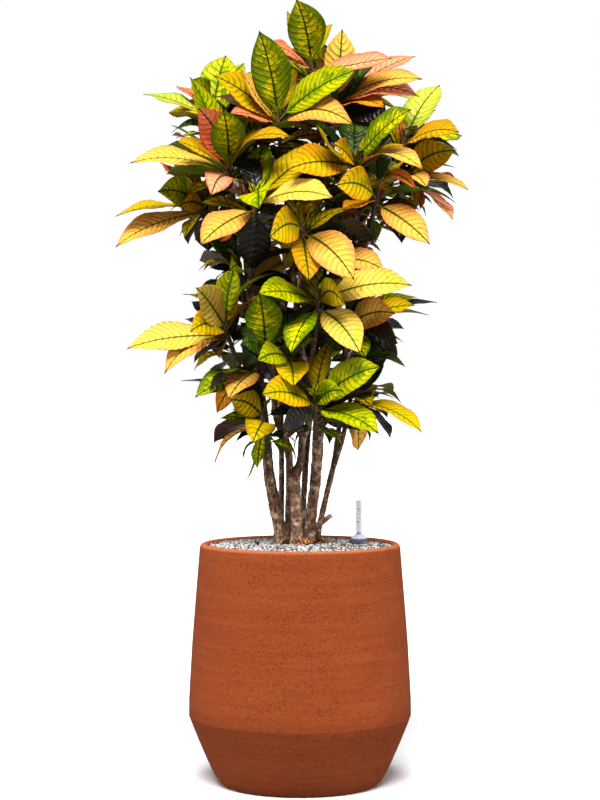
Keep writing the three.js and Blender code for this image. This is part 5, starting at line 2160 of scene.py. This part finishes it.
@dataclass
class Litter:
    """Dry scraps of leaf on the gravel, most of them round the stems' feet."""

    slots: dict[str, str]
    count: int = 70
    spread: float = 44.0
    far_share: float = 0.07
    from_rim: float = 16.0
    behind: float = 8.0
    length: float = 8.0
    length_spread: float = 14.0
    width_share: float = 0.35
    arch: float = 1.5
    tints: tuple[Tint, ...] = (TAN, BROWN, PINK, BROWN, TAN, BROWN)

    def build(self) -> None:
        """Builds the scraps as one piece."""
        skin, shape, draws = Skin(), LeafShape(), Draws(FILL.seed + 1)
        for _ in range(self.count):
            bearing, far = math.tau * draws(), draws()
            reach = self.spread * math.sqrt(far)
            if draws() < self.far_share:
                reach = (FILL.radius - self.from_rim) * math.sqrt(far)
            x, y = reach * math.cos(bearing), self.behind + reach * 0.75 * math.sin(bearing)
            dome = FILL.crown * (1 - (math.hypot(x, y) / FILL.radius) ** 2)
            root = np.array((x, y, FILL.gravel_top + dome + 0.5 + 1.5 * draws()))
            yaw, length = math.tau * draws(), self.length + self.length_spread * draws()
            way = np.array((math.cos(yaw), math.sin(yaw), 0.3 * (draws() - 0.3)))
            facing = np.array((draws() - 0.5, draws() - 0.5, 1.0))
            width = length * (self.width_share + 0.2 * draws())
            tint = draws.pick(self.tints)
            leaf = Leaf(root, root + way * length, facing, width, self.arch, STATIONS, tint)
            shape.add(skin, leaf, draws)
        scraps = skin.piece("dry_leaf_scraps", CrotonLeaf("dry_croton_leaf").material())
        settle(scraps, self.slots["stem_centre"])


@dataclass
class WaterGauge:
    """The water gauge: a clear tube with a float in it, in a frosted collar."""

    slots: dict[str, str]
    sides: int = 48
    marks: tuple[float, ...] = (455.1, 434.9)
    mark_angle: float = 70.0

    def build(self) -> None:
        """Builds the gauge's parts."""
        clear, frosted = CLEAR_PLASTIC.material(), FROSTED_PLASTIC.material()
        dark, red, yellow = (
            finish.material() for finish in (DARK_PLASTIC, RED_PLASTIC, YELLOW_PLASTIC)
        )
        at, foot, top = (GAUGE.x, GAUGE.y), GAUGE.cone_foot, GAUGE.top
        bore, radius = GAUGE.tube_radius - GAUGE.tube_wall, GAUGE.tube_radius
        cap = top - 2
        tube = Skin()
        wall = [
            (0, cap), (bore - 0.6, cap), (bore, cap - 0.8), (bore, foot), (radius, foot),
            (radius, top - 1.4), (radius - 0.4, top - 0.5), (radius - 1.3, top), (0, top),
        ]  # fmt: skip
        lathe(tube, wall, self.sides, at=at)
        for height in self.marks:
            self.add_mark(tube, radius, height)
        thing = tube.piece("gauge_sight_tube", clear, yellow)
        self.finish(thing, "gauge_tube")

        collar = Skin()
        inner = radius + GAP
        neck, mouth = foot + GAUGE.cone_height, radius + 2
        band_top = foot + 3
        cone = [
            (inner, foot), (GAUGE.cone_radius - 0.6, foot), (GAUGE.cone_radius, foot + 0.6),
            (GAUGE.cone_radius, band_top), (14.2, band_top + 2.6), (11.2, band_top + 6.2),
            (mouth + 0.7, neck - 1.6), (mouth, neck - 0.5), (mouth - 0.6, neck), (inner, neck),
        ]  # fmt: skip
        lathe(collar, cone, self.sides, at=at)
        skirt = [
            (GAUGE.cone_radius - 0.4, foot + 0.5), (GAUGE.cone_radius + 0.05, foot + 0.5),
            (GAUGE.cone_radius + 0.05, band_top + 0.1), (13.6, band_top + 3.5),
            (13.3, band_top + 3.2), (GAUGE.cone_radius - 0.4, band_top - 0.3),
        ]  # fmt: skip
        lathe(collar, skirt, self.sides, at=at, finish=1)
        self.finish(collar.piece("gauge_cone_collar", frosted, dark), "gauge_collar")

        rod = Skin()
        low = 30
        profile = [
            (0, low), (4, low), (5, low + 1.5), (5, low + 39), (4, low + 42),
            (GAUGE.float_radius, low + 45), (GAUGE.float_radius, GAUGE.float_top - 4),
            (3.4, GAUGE.float_top - 3), (3.6, GAUGE.float_top - 1), (2.6, GAUGE.float_top + 0.7),
            (0, GAUGE.float_top + 1),
        ]  # fmt: skip
        lathe(rod, profile, self.sides, at=at)
        under, over = GAUGE.float_top - 5.5, GAUGE.float_top - 4.1
        ring = [(3.3, under), (3.8, under), (3.8, over), (3.3, over)]
        lathe(rod, ring, self.sides, at=at, finish=1)
        self.finish(rod.piece("gauge_red_float", red, yellow), "gauge_float")

    def add_mark(self, skin: Skin, radius: float, height: float) -> None:
        """Adds a short raised mark on the front of the tube.

        Args:
            skin: what it is added to.
            radius: the tube's.
            height: that of its middle.
        """
        half = math.radians(self.mark_angle / 2)
        points = []
        for angle in np.linspace(-half, half, 7) - math.pi / 2:
            for reach, up in ((-0.2, -0.9), (0.15, -0.9), (0.15, 0.9), (-0.2, 0.9)):
                r = radius + reach
                x, y = GAUGE.x + r * math.cos(angle), GAUGE.y + r * math.sin(angle)
                points.append((x, y, height + up))
        ends = np.array([points[:4], points[-4:]]).mean(axis=1)
        faces = grid_faces(7, 4)
        skin.add(np.concatenate([ends[:1], points, ends[1:]]), faces, finish=1)

    def finish(self, thing: bpy.types.Object, node: str) -> None:
        """Keeps the turned edges crisp and hands the part over."""
        thing.data.set_sharp_from_angle(angle=math.radians(40))
        settle(thing, self.slots[node], node)


@dataclass
class KeptSolids:
    """The solids that stay as they are and only take a finish."""

    nodes: dict[str, bpy.types.Object]

    def build(self) -> None:
        """Gives them their finishes."""
        finishes = {
            "growing_substrate": Crumb().material(), "gauge_sleeve": CLEAR_PLASTIC.material(),
        }  # fmt: skip
        for name, material in finishes.items():
            self.nodes[name].data.materials.clear()
            self.nodes[name].data.materials.append(material)
            log.info("%s: finished", name)


# ---------------------------------------------------------------- the studio
@dataclass(frozen=True)
class Paper(Finish):
    """Matt backdrop paper. The camera sees it pale and other rays see a darker tone, so little light
    comes back off it.
    """

    name: str = "pale_paper"
    seen: str = "F8F8F8"
    bounce: str = "908E8C"
    grain: float = 333.3  # mm
    gloss: float = 0.1

    def paint(self, wires: Wiring, place: Socket) -> dict:
        """Lays out the nodes.

        Args:
            wires: the tree's builder.
            place: where a point lies.

        Returns:
            What feeds the shader.
        """
        scale = per_metre(self.grain)
        grain = wires.add("TexNoise", {"Vector": place, "Scale": scale, "Detail": 1})
        rough = wires.add("MapRange", {0: grain, 3: 0.8, 4: 0.9})
        seen = wires.add("LightPath")
        tones = {0: seen, 6: linear(self.bounce), 7: linear(self.seen)}
        tone = wires.add("Mix", tones, **MIX)
        return {"Base Color": tone, "Roughness": rough, "Specular IOR Level": self.gloss}


@dataclass
class Studio:
    """A pale floor and backdrop, soft lights and the camera."""

    eye: tuple[float, float, float] = (0, -3.41, 0.69)
    pitch: float = 0.868
    view_height: float = 22.12
    sensor: float = 36.0
    floor_size: float = 60.0
    backdrop: float = 1.0
    ambient: float = 0.24
    lights: tuple[tuple[str, float, float, float, float], ...] = (
        # name, azimuth from the front to the left, elevation, angle across, strength
        ("key", 4, 54, 30, 5.9),
        ("left", 80, 4, 28, 2.3),
        ("right", -78, 4, 28, 2.6),
    )

    def build(self) -> None:
        """Sets up the studio."""
        self.build_floor()
        for name, azimuth, elevation, across, strength in self.lights:
            data = bpy.data.lights.new(name, "SUN")
            data.angle, data.energy = math.radians(across), strength
            light = bpy.data.objects.new(name, data)
            light.rotation_euler = (math.radians(90 - elevation), 0, math.radians(-azimuth))
            bpy.context.scene.collection.objects.link(light)
        world = bpy.data.worlds.new("studio")
        world.use_nodes = True
        wires = Wiring(world.node_tree)
        seen = wires.add("LightPath")
        strength = wires.add("MapRange", {0: seen, 3: self.ambient, 4: self.backdrop})
        glow = wires.add("Background", {0: linear("FFFFFF"), 1: strength})
        wires.add("OutputWorld", {0: glow})
        bpy.context.scene.world = world
        bpy.context.scene.view_settings.view_transform = "Standard"
        self.build_camera()
        log.info("studio: floor, lights and camera")

    def build_floor(self) -> None:
        """Lays the floor."""
        half = self.floor_size / 2
        mesh = bpy.data.meshes.new("studio_floor")
        corners = [(-half, -half, 0), (half, -half, 0), (half, half, 0), (-half, half, 0)]
        mesh.from_pydata(corners, [], [(0, 1, 2, 3)])
        mesh.materials.append(Paper().material())
        floor = bpy.data.objects.new("studio_floor", mesh)
        bpy.context.scene.collection.objects.link(floor)
        floor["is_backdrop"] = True

    def build_camera(self) -> None:
        """Sets the camera at the photograph's viewing angle."""
        data = bpy.data.cameras.new("camera")
        data.sensor_fit = "VERTICAL"
        data.sensor_height = self.sensor
        data.lens = self.sensor / 2 / math.tan(math.radians(self.view_height) / 2)
        camera = bpy.data.objects.new("camera", data)
        camera.location = self.eye
        camera.rotation_euler = (math.radians(90 - self.pitch), 0, 0)
        bpy.context.scene.collection.objects.link(camera)
        bpy.context.scene.camera = camera


def main() -> None:
    """Builds everything round the frame."""
    logging.basicConfig(level=logging.INFO, format="%(message)s")
    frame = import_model()
    solid_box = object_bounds()
    slots = {part["node"]: part["material_slot"] for part in frame["record"]["subparts"]}
    plant = Plant()
    plant.deepen()
    log.info("leaves: %d", sum(len(leaves) for leaves in plant.leaves.values()))
    ClayPot(slots).build()
    GravelTopping(slots).build()
    Litter(slots).build()
    WaterGauge(slots).build()
    KeptSolids(frame["nodes"]).build()
    Wood(plant, slots).build()
    Foliage(plant, slots).build()
    Studio().build()
    sizes = {"solids": solid_box, "visual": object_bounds()}
    plain = {name: [list(map(float, corner)) for corner in box] for name, box in sizes.items()}


if __name__ == "__main__":
    main()
